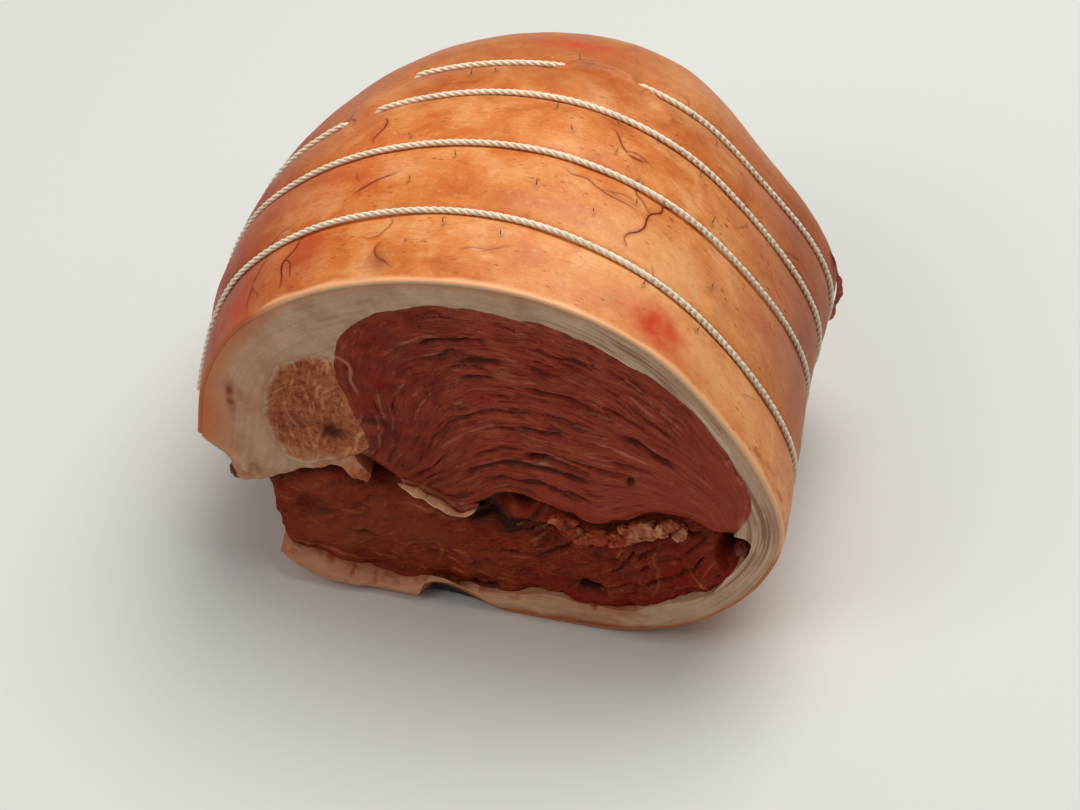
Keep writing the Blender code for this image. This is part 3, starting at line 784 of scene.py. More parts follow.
def rind_material(look):
    """Raw pork skin, scalded and scraped: waxy, a little translucent, tan to orange, with veins."""
    shader = {
        "Roughness": 0.46, "IOR": 1.42, "Subsurface Weight": 0.16, "Subsurface Scale": 0.003,
        "Subsurface Radius": (1.0, 0.4, 0.2),
    }
    patterns = {
        "clouds": ("skin", 13, 5, 0.6, 0.4),
        "warm patches": ("skin", 4.5, 5, 0.7),
        "freckles": ("skin", 0.9, 3, 0.6),
        "pale flecks": ("skin", 2.0, 3, 0.6),
        # Fine lines round the joint, about 0.5 mm apart in life, drawn 0.8 mm apart so that they show.
        "fine lines": ("skin", (6.5, 0.8, 1), 3, 0.6),
        # Hair follicles: short dark dashes round the joint, 2 to 4 mm apart.
        "dashes": ("skin", (3.6, 1.9, 1)),
        "hairy parts": ("skin", 7, 2, 0.55),
        "pores": ("skin", 0.9, 3, 0.7),
    }
    layers = [
        ("#cb7340", ("warm patches", 0.52, 0.74), 0.4),
        ("#c46c3a", ("freckles", 0.54, 0.7), 0.3),
        ("#efc49a", ("pale flecks", 0.55, 0.75), 0.4),
        ("#b9622f", ("fine lines", 0.52, 0.7), "streaky"),
        ("#9c4a1e", ("dashes", 0.27, 0.1), ("hairy parts", 0.4, 0.62), "follicle"),
        # left: the skin redder on the left, partly its own colour and partly painted shade on the side away
        # from the light, with painted shade under the base
        ("#ac3d14", "left"),
        ("#a34b18", "shade"),
        ("#b5591c", "streak"),
        ("#7f3a33", "dark"),
        # pale: paler skin, and painted light to the right of the top, where the light falls fullest
        ("#f7c089", "pale"),
        ("#d6431f", "red"),
        # A vein is a dark core in a wide faint halo.
        ("#b04a2c", ("vein line", 1.3, 0.2), ("vein_near", 2.0, 1.2), "vein_tone", 0.35),
        ("#70211a", ("vein line", 0.42, 0.1), ("vein_near", 1.1, 0.6), "vein_tone"),
        ("#4a3a33", "root"),
        (look.rim[:], ("edge", 2.4, 0.5), 0.92),
        # under: painted shade, near black, under the pinched arch of the base
        ("#1c0b07", "under"),
        (look.rim_cut[:], "cut"),
        (look.fat[:], "fatty"),
    ]
    base = ("clouds", [(0.3, look.rind_deep[:]), (0.5, look.rind[:]), (0.68, look.rind_light[:])])
    return layered_material(
        "scraped pork skin", shader, patterns, base, layers, lines={"vein line": ("vein", 0.0)},
        bump=("pores", 0.2, 0.55), roughness=("clouds", 0.3, 0.7, 0.34, 0.5),
    )


def fat_material(look):
    """Raw pork back fat, cut with a knife: waxy and translucent, in faint layers that follow the skin."""
    shader = {
        "Roughness": 0.42, "IOR": 1.44, "Subsurface Weight": 0.22, "Subsurface Scale": 0.004,
        "Subsurface Radius": (1.0, 0.6, 0.35),
    }
    patterns = {
        "clouds": ("", 11, 4, 0.6),
        "pale flecks": ("", 2.4, 4, 0.65),
        "layers": ("layer", (34, 1.3, 1), 3, 0.55),
        "blood": ("", 3.0, 4, 0.7, 0.6),
        "pits": ("", 0.7, 4, 0.65),
        "wet parts": ("", 4, 3, 0.55),
    }
    layers = [
        ("#e8d2b6", ("pale flecks", 0.5, 0.75), 0.22),
        ("#8f6352", ("layers", 0.5, 0.62), "layered"),
        ("#e6cfb4", ("layers", 0.44, 0.32), "layered"),
        ("#e2c09a", "cream"),
        # orange: the fat's own orange tone in places, and painted glow in the fat next to the skin
        ("#cf7c46", "orange"),
        # raw: bloody fat, and painted shade on the lower part of the strip
        ("#b35a34", "raw"),
        ("#9c4226", "bruise"),
        ("#8a3a26", ("blood", 0.5, 0.7), "raw"),
        # hollow: painted shade, near black, on the fat's walls behind the cut face, which show only through
        # the gaps
        ("#2a0f0a", "hollow"),
    ]
    base = ("clouds", [(0.3, look.fat_shade[:]), (0.66, look.fat[:])])
    return layered_material(
        "cut pork fat", shader, patterns, base, layers, bump=("pits", 0.15, 0.5),
        roughness=("wet parts", 0.3, 0.7, 0.34, 0.52),
    )


def lean_material(look, name="raw lean, cut across", tint=None):
    """Raw lean cut across the fibres: moist, dark red-brown, in bundles that part along dark clefts."""
    shader = {
        "Roughness": 0.4, "IOR": 1.38, "Specular IOR Level": 0.3, "Subsurface Weight": 0.05,
        "Subsurface Scale": 0.002, "Subsurface Radius": (1.0, 0.25, 0.15),
    }
    patterns = {
        "bundles": ("bundle", (12, 2.2, 1), 5, 0.62, 0.3),
        # Single fibres are 0.1 mm thick; they are drawn at 0.5 mm so that they show.
        "fibres": ("bundle", (7, 0.5, 1), 3, 0.6),
        "sheets": ("bundle", (17, 2.7, 1), 2, 0.5, 0.5),
        "parted stretches": ("bundle", (16, 6, 1), 2, 0.55),
        "strands": ("bundle", (11, 1.5, 1), 2, 0.5, 0.4),
        "strand parts": ("", 13, 2, 0.55),
        "pale mottling": ("", 1.2, 4, 0.7),
        "dark mottling": ("", 1.6, 4, 0.7, 0.8),
        "bumps": ("", 0.8, 3, 0.55),
        "wet parts": ("", 2.2, 3, 0.55),
    }
    # Thin dark partings and thin pale strands, each where a stretched noise passes its middle.
    lines = {"partings": ("sheets", 0.5), "thin strands": ("strands", 0.52)}
    layers = [
        ("#5a160b", ("fibres", 0.5, 0.66), 0.45),
        ("#c67a5c", ("fibres", 0.46, 0.3), 0.26),
        ("#4a1008", ("partings", 0.022, 0.006), ("parted stretches", 0.42, 0.56), "parted"),
        ("#cf8d6c", ("thin strands", 0.018, 0.005), ("strand parts", 0.44, 0.6), 0.3),
        ("#bd7657", ("pale mottling", 0.54, 0.72), "mottle"),
        ("#5a1a0f", ("dark mottling", 0.46, 0.3), "mottle"),
        ("#b3553f", "pink"),
        ("#a8603f", "skin"),
        ("#a02a12", "red"),
        # dark: darker lean and clefts, and on the lower muscle painted shade in its pits and under the
        # crevice and the shelf
        ("#430b05", "dark"),
        # pale: pale membranes and strands; on the lower muscle partly painted wet sheen
        ("#d69a7c", "pale"),
    ]
    if tint is not None:
        layers.append((tint,))
    # hollow: painted shade, near black, in holes and gaps and on the side walls seen through them
    layers.append(("#0d0302", "hollow"))
    base = ("bundles", [(0.3, look.lean_deep[:]), (0.5, look.lean[:]), (0.7, look.lean_light[:])])
    return layered_material(
        name, shader, patterns, base, layers, lines, bump=("fibres", "bumps", 0.3, 0.7),
        roughness=("wet parts", 0.3, 0.7, 0.3, 0.5),
    )


def marbled_material(look):
    """Lean cut across and full of fat: tan-brown threads among cream flecks and strands."""
    shader = {
        "Roughness": 0.42, "IOR": 1.4, "Specular IOR Level": 0.35, "Subsurface Weight": 0.08,
        "Subsurface Scale": 0.002,
    }
    patterns = {
        "threads": ("", 2.2, 5, 0.7, 0.4),
        "specks": ("", 0.9, 3, 0.6),
        "pits": ("", 0.7, 4, 0.55),
        "wet parts": ("", 2, 3, 0.55),
    }
    layers = [
        ("#6a301a", ("specks", 0.5, 0.7), 0.5),
        ("#dea16e", "web"),
        (look.fat[:], "fatty"),
        ("#64150a", "dark"),
        # hollow: painted shade, near black, on the side walls seen through the gaps
        ("#0d0302", "hollow"),
    ]
    base = ("threads", [(0.32, "#7a3519"), (0.5, look.marbled[:]), (0.68, "#c48151")])
    return layered_material(
        "raw lean, marbled", shader, patterns, base, layers, bump=("pits", 0.3, 0.7),
        roughness=("wet parts", 0.3, 0.7, 0.34, 0.52),
    )


def torn_material():
    """Torn fat and membrane: wet and ragged, from dark red where it is bloody to pale orange."""
    shader = {
        "Roughness": 0.36, "IOR": 1.42, "Subsurface Weight": 0.25, "Subsurface Scale": 0.003,
        "Subsurface Radius": (1.0, 0.5, 0.3),
    }
    patterns = {
        "patches": ("", 4.5, 4, 0.6, 0.4),
        "specks": ("", 1.2, 3, 0.6),
        "pits": ("", 0.8, 4, 0.55),
    }
    layers = [("#f1cfa6", "rim"), ("#6e2417", ("specks", 0.56, 0.7), 0.5), ("#7a2a20", "dark")]
    base = ("patches", [(0.32, "#8a2c16"), (0.5, "#bd5732"), (0.7, "#dc9468")])
    return layered_material("torn fat and membrane", shader, patterns, base, layers, bump=("pits", 0.3, 0.7))


def twine_material(look):
    """Butcher's twine: undyed cotton, three plies, a little damp, with short loose fibres along each ply."""
    patterns = {"hairs": ("ply", (1.6, 0.22, 1), 3, 0.6), "damp parts": ("", 9, 2, 0.55)}
    layers = [("#cdb894", ("damp parts", 0.45, 0.7), 0.2)]
    base = ("hairs", [(0.3, look.twine_shade[:]), (0.7, look.twine[:])])
    shader = {"Roughness": 0.85, "IOR": 1.45}
    return layered_material("undyed cotton twine", shader, patterns, base, layers, bump=("hairs", 0.12, 0.8))


def bristle_material():
    """Pig bristle: a stiff hair left in scraped skin, glossy, from nearly black to brown."""
    patterns = {"tone": ("", 2.0, 3, 0.55)}
    base = ("tone", [(0.3, "#2a211d"), (0.7, "#55463c")])
    return layered_material("pig bristle", {"Roughness": 0.45, "IOR": 1.5}, patterns, base)


def floor_material(look):
    """A pale matt floor."""
    patterns = {"tone": ("", 160, 2, 0.55)}
    base = ("tone", [(0.2, look.floor[:]), (0.9, look.floor[:])])
    return layered_material("pale floor", {"Roughness": 0.7}, patterns, base)


# ---------------------------------------------------------------- the pieces


def skin_rows(t):
    """Distances behind the cut face at which the skin has a row of points: close together at each string."""
    y1 = back(*catmull(RIND, t).T)
    loops = [twine_y(name, t) for name in TWINE]
    marks = [0 * t + EDGE_ROUND]
    counts = []
    for y in loops:
        marks += [y - 4.2, y + 4.2]
        counts += [None, 15]
    marks.append(y1 - EDGE_ROUND)
    counts.append(None)
    spare = (13, 18, 16, 13, 34)
    gaps = iter(spare)
    rows = [marks[0]]
    for a, b, count in zip(marks[:-1], marks[1:], counts):
        n = count or next(gaps)
        rows += [a + (b - a) * f for f in np.linspace(0, 1, n + 1)[1:]]
    return np.array(rows)


# The kinds of ring in the skin's shell, and the places at which the skin turns under and is sampled less.
OUTER, FRONT_EDGE, BACK_EDGE, INNER = range(4)
BASE_TURN = 10.4
FINE_END = 10.6


def build_rind(look):
    """The skin as a closed shell: a grid of place and distance, rounded at both cut edges."""
    t = np.concatenate(
        [np.linspace(0, FINE_END, 372), np.linspace(FINE_END, 12, 14)[1:], np.linspace(12, RIND_ENDS, 26)[1:]]
    )
    y = skin_rows(t)
    y_back = back(*catmull(RIND, t).T) + back_relief(*catmull(RIND, t).T)
    # Each ring of the shell: distances behind the cut face, depth under the skin, and kind.
    # The front goes over the cut edge from the fat to the outer side, as a quarter circle.
    rings = [
        (0 * t + behind, depth, FRONT_EDGE) for depth, behind in ((SKIN, 0.7), (1.4, 0.06), (EDGE_ROUND, 0))
    ]
    for angle in np.radians((22, 45, 67)):
        behind, depth = EDGE_ROUND * (1 - math.cos(angle)), EDGE_ROUND * (1 - math.sin(angle))
        rings.append((0 * t + behind, depth, FRONT_EDGE))
    rings += [(row, 0, OUTER) for row in y]
    end = y_back - y[-1] - EDGE_ROUND
    for angle in np.radians((30, 60, 90)):
        depth = EDGE_ROUND * (1 - math.cos(angle))
        rings.append((y[-1] + end + EDGE_ROUND * math.sin(angle), depth, BACK_EDGE))
    rings.append((y_back, SKIN, BACK_EDGE))
    rings += [(row, SKIN, INNER) for row in y[np.linspace(len(y) - 1, 0, 22).astype(int)]]
    rows, depths, kinds = zip(*rings)
    total = len(rings)
    rows = np.array(rows)
    tt, yy = np.tile(t, total), rows.ravel()
    clipped = np.minimum(yy, np.tile(back(*catmull(RIND, t).T), total))
    place, normal = rind_point(tt, clipped), rind_normal(tt, clipped)
    place[:, 1] = yy
    kind = np.repeat(kinds, len(t))
    depth = np.repeat(depths, len(t)).astype(float)
    relief = skin_relief(tt, yy, look.groove_depth / MM)
    edge_fade = np.where(kind == FRONT_EDGE, 0.0, 1.0)
    height = (
        np.where(kind == INNER, -groove(tt, yy, look.groove_depth / MM) - 0.25, relief * edge_fade) - depth
    )
    place += normal * height[:, None]
    under = tt > BASE_TURN
    floor_level = np.where(kind == INNER, SKIN * 0.55, 0.0)
    place[:, 2] = np.where(under, np.maximum(place[:, 2], floor_level), np.maximum(place[:, 2], 0.0))
    columns = len(t)
    triangles = grid_triangles(total, columns, closed=True)
    # End walls at the left tip and at the strip's end: a fan over each end's ring of points.
    ring = np.arange(total)
    points = np.vstack([place, place[ring * columns].mean(0), place[ring * columns + columns - 1].mean(0)])
    tip, strip = len(points) - 2, len(points) - 1
    near, far = ring * columns, ring * columns + columns - 1
    triangles = np.vstack([triangles, fan(tip, near), fan(strip, far, turned=True)])
    tt, yy, kind = np.r_[tt, 0, RIND_ENDS], np.r_[yy, 60, 60], np.r_[kind, INNER, INNER]
    vein, near, tone = vein_fields(tt, yy)
    left = smooth((3.5 - tt) / 2.3)
    hidden = smooth((tt - 9.2) / 1.2)
    root = np.max(
        [
            0.6 * np.exp(-(((tt - a) * ROUND / 0.5) ** 2) - ((yy - b + 0.2) / 0.8) ** 2)
            for a, b, _ in bristle_places()
        ],
        axis=0,
    )
    ragged_edge = 0.6 * rough(tt * ROUND / 9, 0 * tt, 41, 3)
    # Where the skin's cut edge shows as a dark line.
    thin = np.maximum(smooth((2.9 - tt) / 0.8), smooth((tt - 8.2) / 0.6))
    rim_depth = np.r_[depth, 1, 1]
    far_side = 0.72 * smooth((tt - 6.2) / 1.6) * smooth((yy - 4) / 40) * smooth((11 - tt) / 2)
    streak = smooth((tt - 7.1) / 0.1) * smooth((8 - tt) / 0.2)
    dark = 0.8 * skin_spots(tt, yy, DARK_BLOTCHES, 43)
    # Painted shade under the arch where the base is pinched up off the floor, laid on as the field under.
    pinched = smooth(fold(*catmull(RIND, tt).T, 0 * tt) / 2.0) * (tt > BASE_TURN)
    edge = np.where(kind == FRONT_EDGE, 0, yy + ragged_edge)
    # Painted shade in part: the skin is darkened and reddened towards the left, away from the light, and
    # darkened underneath where hidden rises.
    shade = 0.95 * left * (0.78 + 0.4 * noise(tt * ROUND / 14, yy / 14, 57)) + 0.25 * hidden
    fields = {
        "skin": np.stack([tt * ROUND, yy, 0 * tt], 1),
        "vein": vein,
        "vein_near": near,
        "vein_tone": tone * (kind != FRONT_EDGE),
        "left": np.clip(shade, 0, 0.95),
        "shade": np.clip(far_side + 0.4 * smooth((yy - 62) / 45), 0, 0.8),
        "streak": streak * smooth(1 - np.abs(yy - 5 + 14 * (tt - 7.5) ** 2) / 1.1),
        "follicle": 0.5 + 0.5 * smooth((tt - 4.2) / 2),
        "streaky": 0.22 + 0.3 * np.abs(smooth((tt - 3.2) / 2.6) - 0.3),
        "red": skin_spots(tt, yy, RED_BLOTCHES, 41) * (0.55 + 0.6 * noise(tt * ROUND / 1.8, yy / 1.6, 51)),
        "dark": dark * (0.6 + 0.5 * noise(tt * ROUND / 2.5, yy / 2.2, 53)),
        # Paler skin, with painted light to the right of the top, where the light falls fullest.
        "pale": skin_spots(tt, yy, PALE_SKIN_AND_PAINTED_LIGHT, 45) * (0.5 + 0.6 * noise(tt * ROUND / 1.2, yy / 1.0, 55)),
        "root": root,
        "under": pinched * ((kind != FRONT_EDGE) | (rim_depth < 0.6)) * smooth(1 - (yy - 14) / 8),
        "edge": edge + 3.5 * smooth((2.6 - tt) / 0.8) + 3.5 * smooth((tt - 8.2) / 0.6),
        "cut": np.clip(1.0 * (kind == INNER) + 0.9 * thin * ((kind == FRONT_EDGE) | (yy < 0.9)), 0, 1),
        "fatty": (kind == FRONT_EDGE) * smooth((rim_depth - 0.35) / 0.55) * (
            1 - 0.85 * thin * (rim_depth < 1.6)
        ),
    }
    return piece(
        "rind", points, triangles, rind_material(look), fields, ("fat_and_rind",), sharp=75
    )


def cut_waves(x, z):
    """The knife's soft waves, shared by the pieces of the cut face so that they meet level."""
    return (
        0.45 * ripple(x, z, 30) * smooth((70 - np.abs(x)) / 30) - 0.5 * bump(x, z, -58, 70, 34, 45)
        - 0.9 * bump(x, z, 18, 90, 60, 42)
    )


def front_of_jacket(x, z):
    """Relief of the cut fat: soft waves, dying out at the skin, and a strip that bulges out over its skin."""
    deep = distance_to(RIND_LINE, x, z)
    border = np.minimum(distance_to(ROOF_LINE, x, z), distance_to(POCKET_LINE, x, z))
    cut = 0.2 * rough(x / 7, z / 5, 61, 4) * smooth(border / 2)
    tongue = (
        -0.5 * bump(x, z, -39.5, 51.5, 6, 6.5)
        + 1.6 * rough(x / 3, z / 3, 63, 3) * smooth(1.2 - np.hypot(x + 42, (z - 51) * 1.4) / 14)
    )
    # Knife marks and pinched edges low on the left, where the fat ends in a ragged flap.
    flap = bump(x, z, -74, 45, 14, 9) * (0.7 + 2.6 * rough(x / 5, z / 4, 65, 3))
    hollow = 1.6 * bump(x, z, -57, 47, 9, 4)
    low = smooth((14 - z) / 5)
    roll = smooth((-17 - x) / 5) * smooth((x + 67) / 5)
    strip = (
        -low * (0.9 + 1.9 * roll) * smooth((deep - 1.2) / 2.6)
        * smooth(distance_to(STRIP_LINE, x, z) / 2.4 + 0.15)
    )
    strip = strip + low * 0.9 * rough(x / 9, z / 3, 67, 3) * smooth((deep - 1.2) / 2)
    return (cut_waves(x, z) * (1 - low) + cut) * smooth((deep - 1) / 3) + tongue + flap + hollow + strip


def front_of_upper(x, z):
    """Level with the fat round it, and rolled over at the crevice under it."""
    edge = distance_to(CREVICE_LINE, x, z)
    border = np.minimum(distance_to(ROOF_LINE, x, z), distance_to(PARTING_LINE, x, z))
    return (
        cut_waves(x, z) - 0.06 + 0.3 * ripple(x, z, 22) * smooth(border / 6)
        + 1.6 * smooth(1 - edge / 4.5) ** 2
    )


def front_of_side(x, z):
    """Level with the fat round it."""
    return cut_waves(x, z) - 0.05


def front_of_lower(x, z):
    """Set back under the crevice, with two deep pits and a lobe of lean that hangs over the middle of it."""
    edge = distance_to(CREVICE_LINE, x, z)
    set_back = 1.2 + 4.6 * smooth(1 - edge / 17)
    lobe = smooth(1 - distance_to(HANGING_LOBE, x, z) / 6.5)
    return (
        set_back
        - 3.6 * lobe
        + 16.0 * bump(x, z, -32.5, 51, 11.5, 9.5)
        + 6.5 * smooth(1 - distance_to(SHELF_LINE, x, z) / 7) * smooth((x + 66) / 8)
        + 10.0 * bump(x, z, 74, 44, 5.5, 9)
        + 0.6 * ripple(x, z, 17)
    )


def build_fat(look):
    """The fat under the skin: its outer wall runs inside the rind, and its cut face is filled finely."""
    t = np.concatenate([np.linspace(0, FINE_END, 300), np.linspace(FINE_END, RIND_ENDS, 90)[1:]])
    rim = catmull(RIND, t)
    rim[:, 1] = np.maximum(rim[:, 1], 0)
    n = rind_normal(t, 0 * t)[:, [0, 2]]
    rim_in = rim - n / np.linalg.norm(n, axis=1, keepdims=True) * FAT_UNDER
    low_part = [even(STRIP_END, 1.0)[2:-1], STRIP_LINE[:-1], even(CORNER, 1.0)[:-1]]
    high_part = [ROOF_LINE[:-1], POCKET_LINE[:-1], SHELF_LINE[:-1], even(FLAP, 1.0)[:-2]]
    inner = np.vstack(low_part + high_part)
    y1 = back(*rim.T)
    loops = [twine_y(name, t) for name in TWINE]
    rows = [0 * t]
    for y in loops:
        rows += [y - 4.5, y, y + 4.5]
    rows += [loops[3] + (y1 - loops[3]) * f for f in (0.4, 0.7)] + [y1]
    rows = np.array(rows)
    tt, yy = np.tile(t, len(rows)), rows.ravel()
    wall = (
        rind_point(tt, yy)
        - rind_normal(tt, yy) * (FAT_UNDER + groove(tt, yy, look.groove_depth / MM) * (yy > 1))[:, None]
    )
    wall[:, 2] = np.maximum(wall[:, 2], np.where(tt > 10.4, 0.9, 0.0))
    wall = wall.reshape(len(rows), len(t), 3).transpose(1, 0, 2)
    wall[:, -1, 1] += back_relief(*rim.T)
    wall[:, 0, 0], wall[:, 0, 2] = rim_in[:, 0], np.maximum(rim_in[:, 1], 0.9) + fold(rim[:, 0], rim[:, 1], 0)
    wall[:, 0, 1] = 0
    outer = np.full((len(t) + len(inner), len(rows), 3), np.nan)
    outer[: len(t)] = wall
    outline = np.vstack([np.stack([rim_in[:, 0], np.maximum(rim_in[:, 1], 0.9)], 1), inner])
    levels = np.linspace(0, 1, len(rows))
    points, triangles, drawn, way = loft(outline, levels, front_of_jacket, 0.62, 71, outer)
    x, z = drawn.T
    deep = distance_to(RIND_LINE, x, z)
    face = way < 0.5
    inner_edge = distance_to(SHELF_LINE, x, z)
    pocket_edge = distance_to(POCKET_LINE, x, z)
    angle = np.arctan2(x - 0, z - 60)
    right = smooth((x - 5) / 40)
    low = smooth((14 - z) / 4) * smooth((60 - x) / 20)
    under_skin = deep - FAT_UNDER
    left = smooth((-56 - x) / 16)
    # Painted glow: next to the skin the fat is painted orange, as light shining through the skin would colour
    # it.
    glow = (0.45 + 0.1 * left) * smooth(1 - under_skin / (2.6 + 5 * left)) * (1 - 0.7 * right * (1 - low))
    speckle = smooth((noise(x / 2.4, z / 1.6, 74) - 0.62) / 0.2)
    fields = {
        "layer": np.stack([angle * 75, deep, 0 * x], 1),
        "layered": (
            0.14 + 0.62 * right
        ) * smooth((deep - 1.8) / 1.2) * smooth((z - 14) / 20) + 0.35 * (z < 12),
        # Orange: the fat's own tone on the tongue, on the left and along the strip, and the painted glow next
        # to the skin.
        "orange": np.where(
            face,
            np.clip(
                glow + 0.22 * left + 0.4 * bump(x, z, -83, 62, 9, 22)
                + 1.0 * bump(x, z, -40, 51, 15, 11) * (0.45 + 0.7 * noise(x / 2.4, z / 1.8, 76)) + 0.2 * low
                + 0.12 * low * smooth((-2 - x) / 20) + 0.45 * low * smooth(1 - under_skin / 2.2),
                0, 1,
            ),
            0.4,
        ),
        "raw": np.clip(
            0.55 * smooth(1 - inner_edge / 2.2) * (x < -30) * noise(x / 3, z / 2, 73)
            + 0.3 * smooth(1 - pocket_edge / 2.6)
            + 0.8 * low * (0.35 + speckle)
            * smooth(1 - distance_to(STRIP_LINE, x, z) / (1.5 + 2 * noise(x / 8, 0 * x, 70)))
            + 0.5 * bump(x, z, -74, 43, 11, 7) * smooth((noise(x / 3, z / 2, 80) - 0.5) / 0.2)
            + 0.45 * low * smooth((x - 8) / 30) * noise(x / 7, z / 2, 78)
            # painted shade on the lower part of the strip, next to its skin
            + 0.45 * low * smooth(1 - under_skin / 3.4) * (0.4 + noise(x / 9, z / 2, 79))
            + 0.3 * low * smooth((-2 - x) / 20) * noise(x / 8, z / 1.2, 72)
            + 0.7 * bump(x, z, -38, 50, 8, 6),
            0, 1,
        ),
        "bruise": np.clip(
            bumps(x, z, (0.9, -78, 74, 2.4, 13), (0.35, -76, 76, 8, 10)), 0, 1
        ) * (0.35 + 0.8 * noise(x / 1.7, z / 2.4, 75)),
        "cream": np.clip(
            0.55 * low * (0.5 + 0.7 * noise(x / 5, z / 3, 77)) + 0.5 * bump(x, z, -58.5, 47.5, 4, 2.2), 0, 1
        ),
        # Painted shade, near black, on the walls behind the cut face, seen only through the gaps.
        "hollow": np.where(face, 0.0, 1.0) * smooth(
            (way - 0.02) / 0.1
        ) * (way < 0.98) * 0.85 * smooth((x + 66) / 5),
    }
    return piece("fat", points, triangles, fat_material(look), fields, ("fat_and_rind",))


def soft_distance(line, x, z):
    """Distance to a line sampled every 2 mm, without kinks.

    (pi / 4 / sum(1 / d^4)) ^ (1/3) is d beside a long line.
    """
    far = np.maximum(np.hypot(x[..., None] - line[:, 0], z[..., None] - line[:, 1]), 1.0)
    return (math.pi / 4 / (far**-4.0).sum(-1)) ** (1 / 3)


TABLE_STEP = 1.5
TABLE_LEFT = -72.0


def share_table(upper, lower):
    """Share of the way from a muscle's upper edge to its lower one, on a grid; its layers lie along it."""
    x, z = np.meshgrid(np.arange(TABLE_LEFT, 93, TABLE_STEP), np.arange(0, 136, TABLE_STEP), indexing="ij")
    above, below = soft_distance(upper, x, z), soft_distance(lower, x, z)
    return above / (above + below)


CURL_END = -12.0  # left of this the layers of the upper muscle run down into the crevice, not along it
UPPER_SHARE = share_table(
    np.vstack([even(PARTING, 2.0), even(ROOF, 2.0)[::-1][1:]]), CREVICE_LINE[CREVICE_LINE[:, 0] > CURL_END]
)
LOWER_SHARE = share_table(np.vstack([CREVICE_LINE, even(SHELF, 2.0)[1:]]), even(STRIP, 2.0))


def share_at(table, x, z):
    """Reads a share table at (x, z), blended between its four nearest values."""
    u = np.clip((x - TABLE_LEFT) / TABLE_STEP, 0, table.shape[0] - 1.001)
    v = np.clip(z / TABLE_STEP, 0, table.shape[1] - 1.001)
    i, j = u.astype(int), v.astype(int)
    f, g = u - i, v - j
    low = table[i, j] * (1 - f) + table[i + 1, j] * f
    high = table[i, j + 1] * (1 - f) + table[i + 1, j + 1] * f
    return low * (1 - g) + high * g


def share_slope(table, x, z):
    """Change of a share table for each millimetre to the right, and for each millimetre up."""
    right = share_at(table, x + 1, z) - share_at(table, x - 1, z)
    up = share_at(table, x, z + 1) - share_at(table, x, z - 1)
    return right / 2, up / 2


def leg_grain(x, z):
    """Unit direction of the upper muscle's layers: square to the slope of their share, a little wavy."""
    right, up = share_slope(UPPER_SHARE, x, z)
    size = np.maximum(np.hypot(right, up), 1e-6)
    turn = (
        0.22 * rough(x / 16, z / 16, 81, 2)
        + 0.8 * rough(x / 8, z / 8, 82, 2) * smooth((-8 - x) / 20) * smooth((96 - z) / 20)
    )
    dx, dz = up / size, -right / size
    return dx * np.cos(turn) - dz * np.sin(turn), dx * np.sin(turn) + dz * np.cos(turn)


def low_grain(x, z):
    """Fibres of the lower muscle: level, rising to the left, swirled."""
    turn = 0.25 + 0.9 * rough(x / 22, z / 18, 83, 2)
    return np.cos(turn), np.sin(turn)


# The main clefts and pale membranes keep to a layer: share of the way down, from x to x, half width,
# strength.
UPPER_CLEFTS = (
    (0.12, -22, 3, 0.8, 0.8), (0.11, 12, 33, 0.6, 0.7), (0.18, -16, -3, 0.7, 0.8), (0.22, -9, 8, 1.3, 1.0),
    (0.2, 10, 25, 1.0, 0.8), (0.28, -9, 6, 0.9, 0.9), (0.31, 11, 38, 0.8, 0.8), (0.43, -20, 16, 0.7, 0.7),
    (0.4, 38, 58, 1.4, 1.0), (0.5, 9, 26, 0.8, 0.8), (0.55, 33, 52, 0.7, 0.7), (0.63, -5, 14, 0.7, 0.7),
    (0.73, -8, 33, 1.3, 1.0), (0.84, -2, 34, 1.0, 0.95), (0.92, 2, 18, 0.6, 0.6),
)
UPPER_MEMBRANES = (
    (0.12, -26, -12, 0.5, 0.9), (0.25, 1, 9, 1.4, 0.35), (0.48, 31, 51, 0.4, 0.9), (0.7, 13, 22, 0.5, 0.7)
)
LOWER_CLEFTS = (
    (0.06, 5, 37, 1.3, 1.0), (0.22, 10, 30, 1.8, 1.0), (0.2, -14, 4, 1.0, 0.8), (0.3, 55, 68, 1.0, 0.8),
    (0.12, 62, 74, 1.2, 0.8), (0.85, 26, 38, 2.2, 0.85), (0.55, 2, 20, 0.8, 0.5), (0.6, -46, -32, 0.7, 0.5),
    (0.95, -38, -24, 0.8, 0.6), (0.97, -8, 5, 1.3, 1.0), (0.5, 34, 46, 0.9, 0.6),
)
LOWER_MEMBRANES = ((0.25, -30, -10, 0.5, 0.6), (0.4, -52, -37, 0.4, 0.5), (0.8, -40, -28, 0.4, 0.5))
HANGING_LOBE = even(((9, 47), (20, 44), (31, 39)), 1.0)


def along_layers(lines, table, x, z, seed):
    """Lines along the layers: each keeps to its share, shaken by noise, and thins out at its ends."""
    share = share_at(table, x, z) + 0.018 * rough(x / 9, z / 9, seed, 2)
    slope = np.maximum(np.hypot(*share_slope(table, x, z)), 0.004)
    uneven = 0.45 + 1.1 * noise(x / 2.6, z / 2.6, seed + 3)
    found = 0 * x
    for layer, left, right, width, strength in lines:
        ends = smooth((x - left) / 5) * smooth((right - x) / 5)
        off = np.abs(share - layer) / slope
        found = np.maximum(found, strength * ends * smooth(1.25 - off / (width * uneven)))
    return found


LEVELS = np.array([0, 0.02, 0.06, 0.12, 0.25, 0.42, 0.6, 0.76, 0.89, 0.97, 1])


def bundle_field(x, z):
    """Pattern places that follow the layers of the upper muscle: millimetres along them, and across them."""
    across = 60 * share_at(UPPER_SHARE, x, z) + 1.3 * rough(x / 14, z / 14, 85, 3)
    return np.stack([x + 0.35 * z, across, 0 * x], 1)


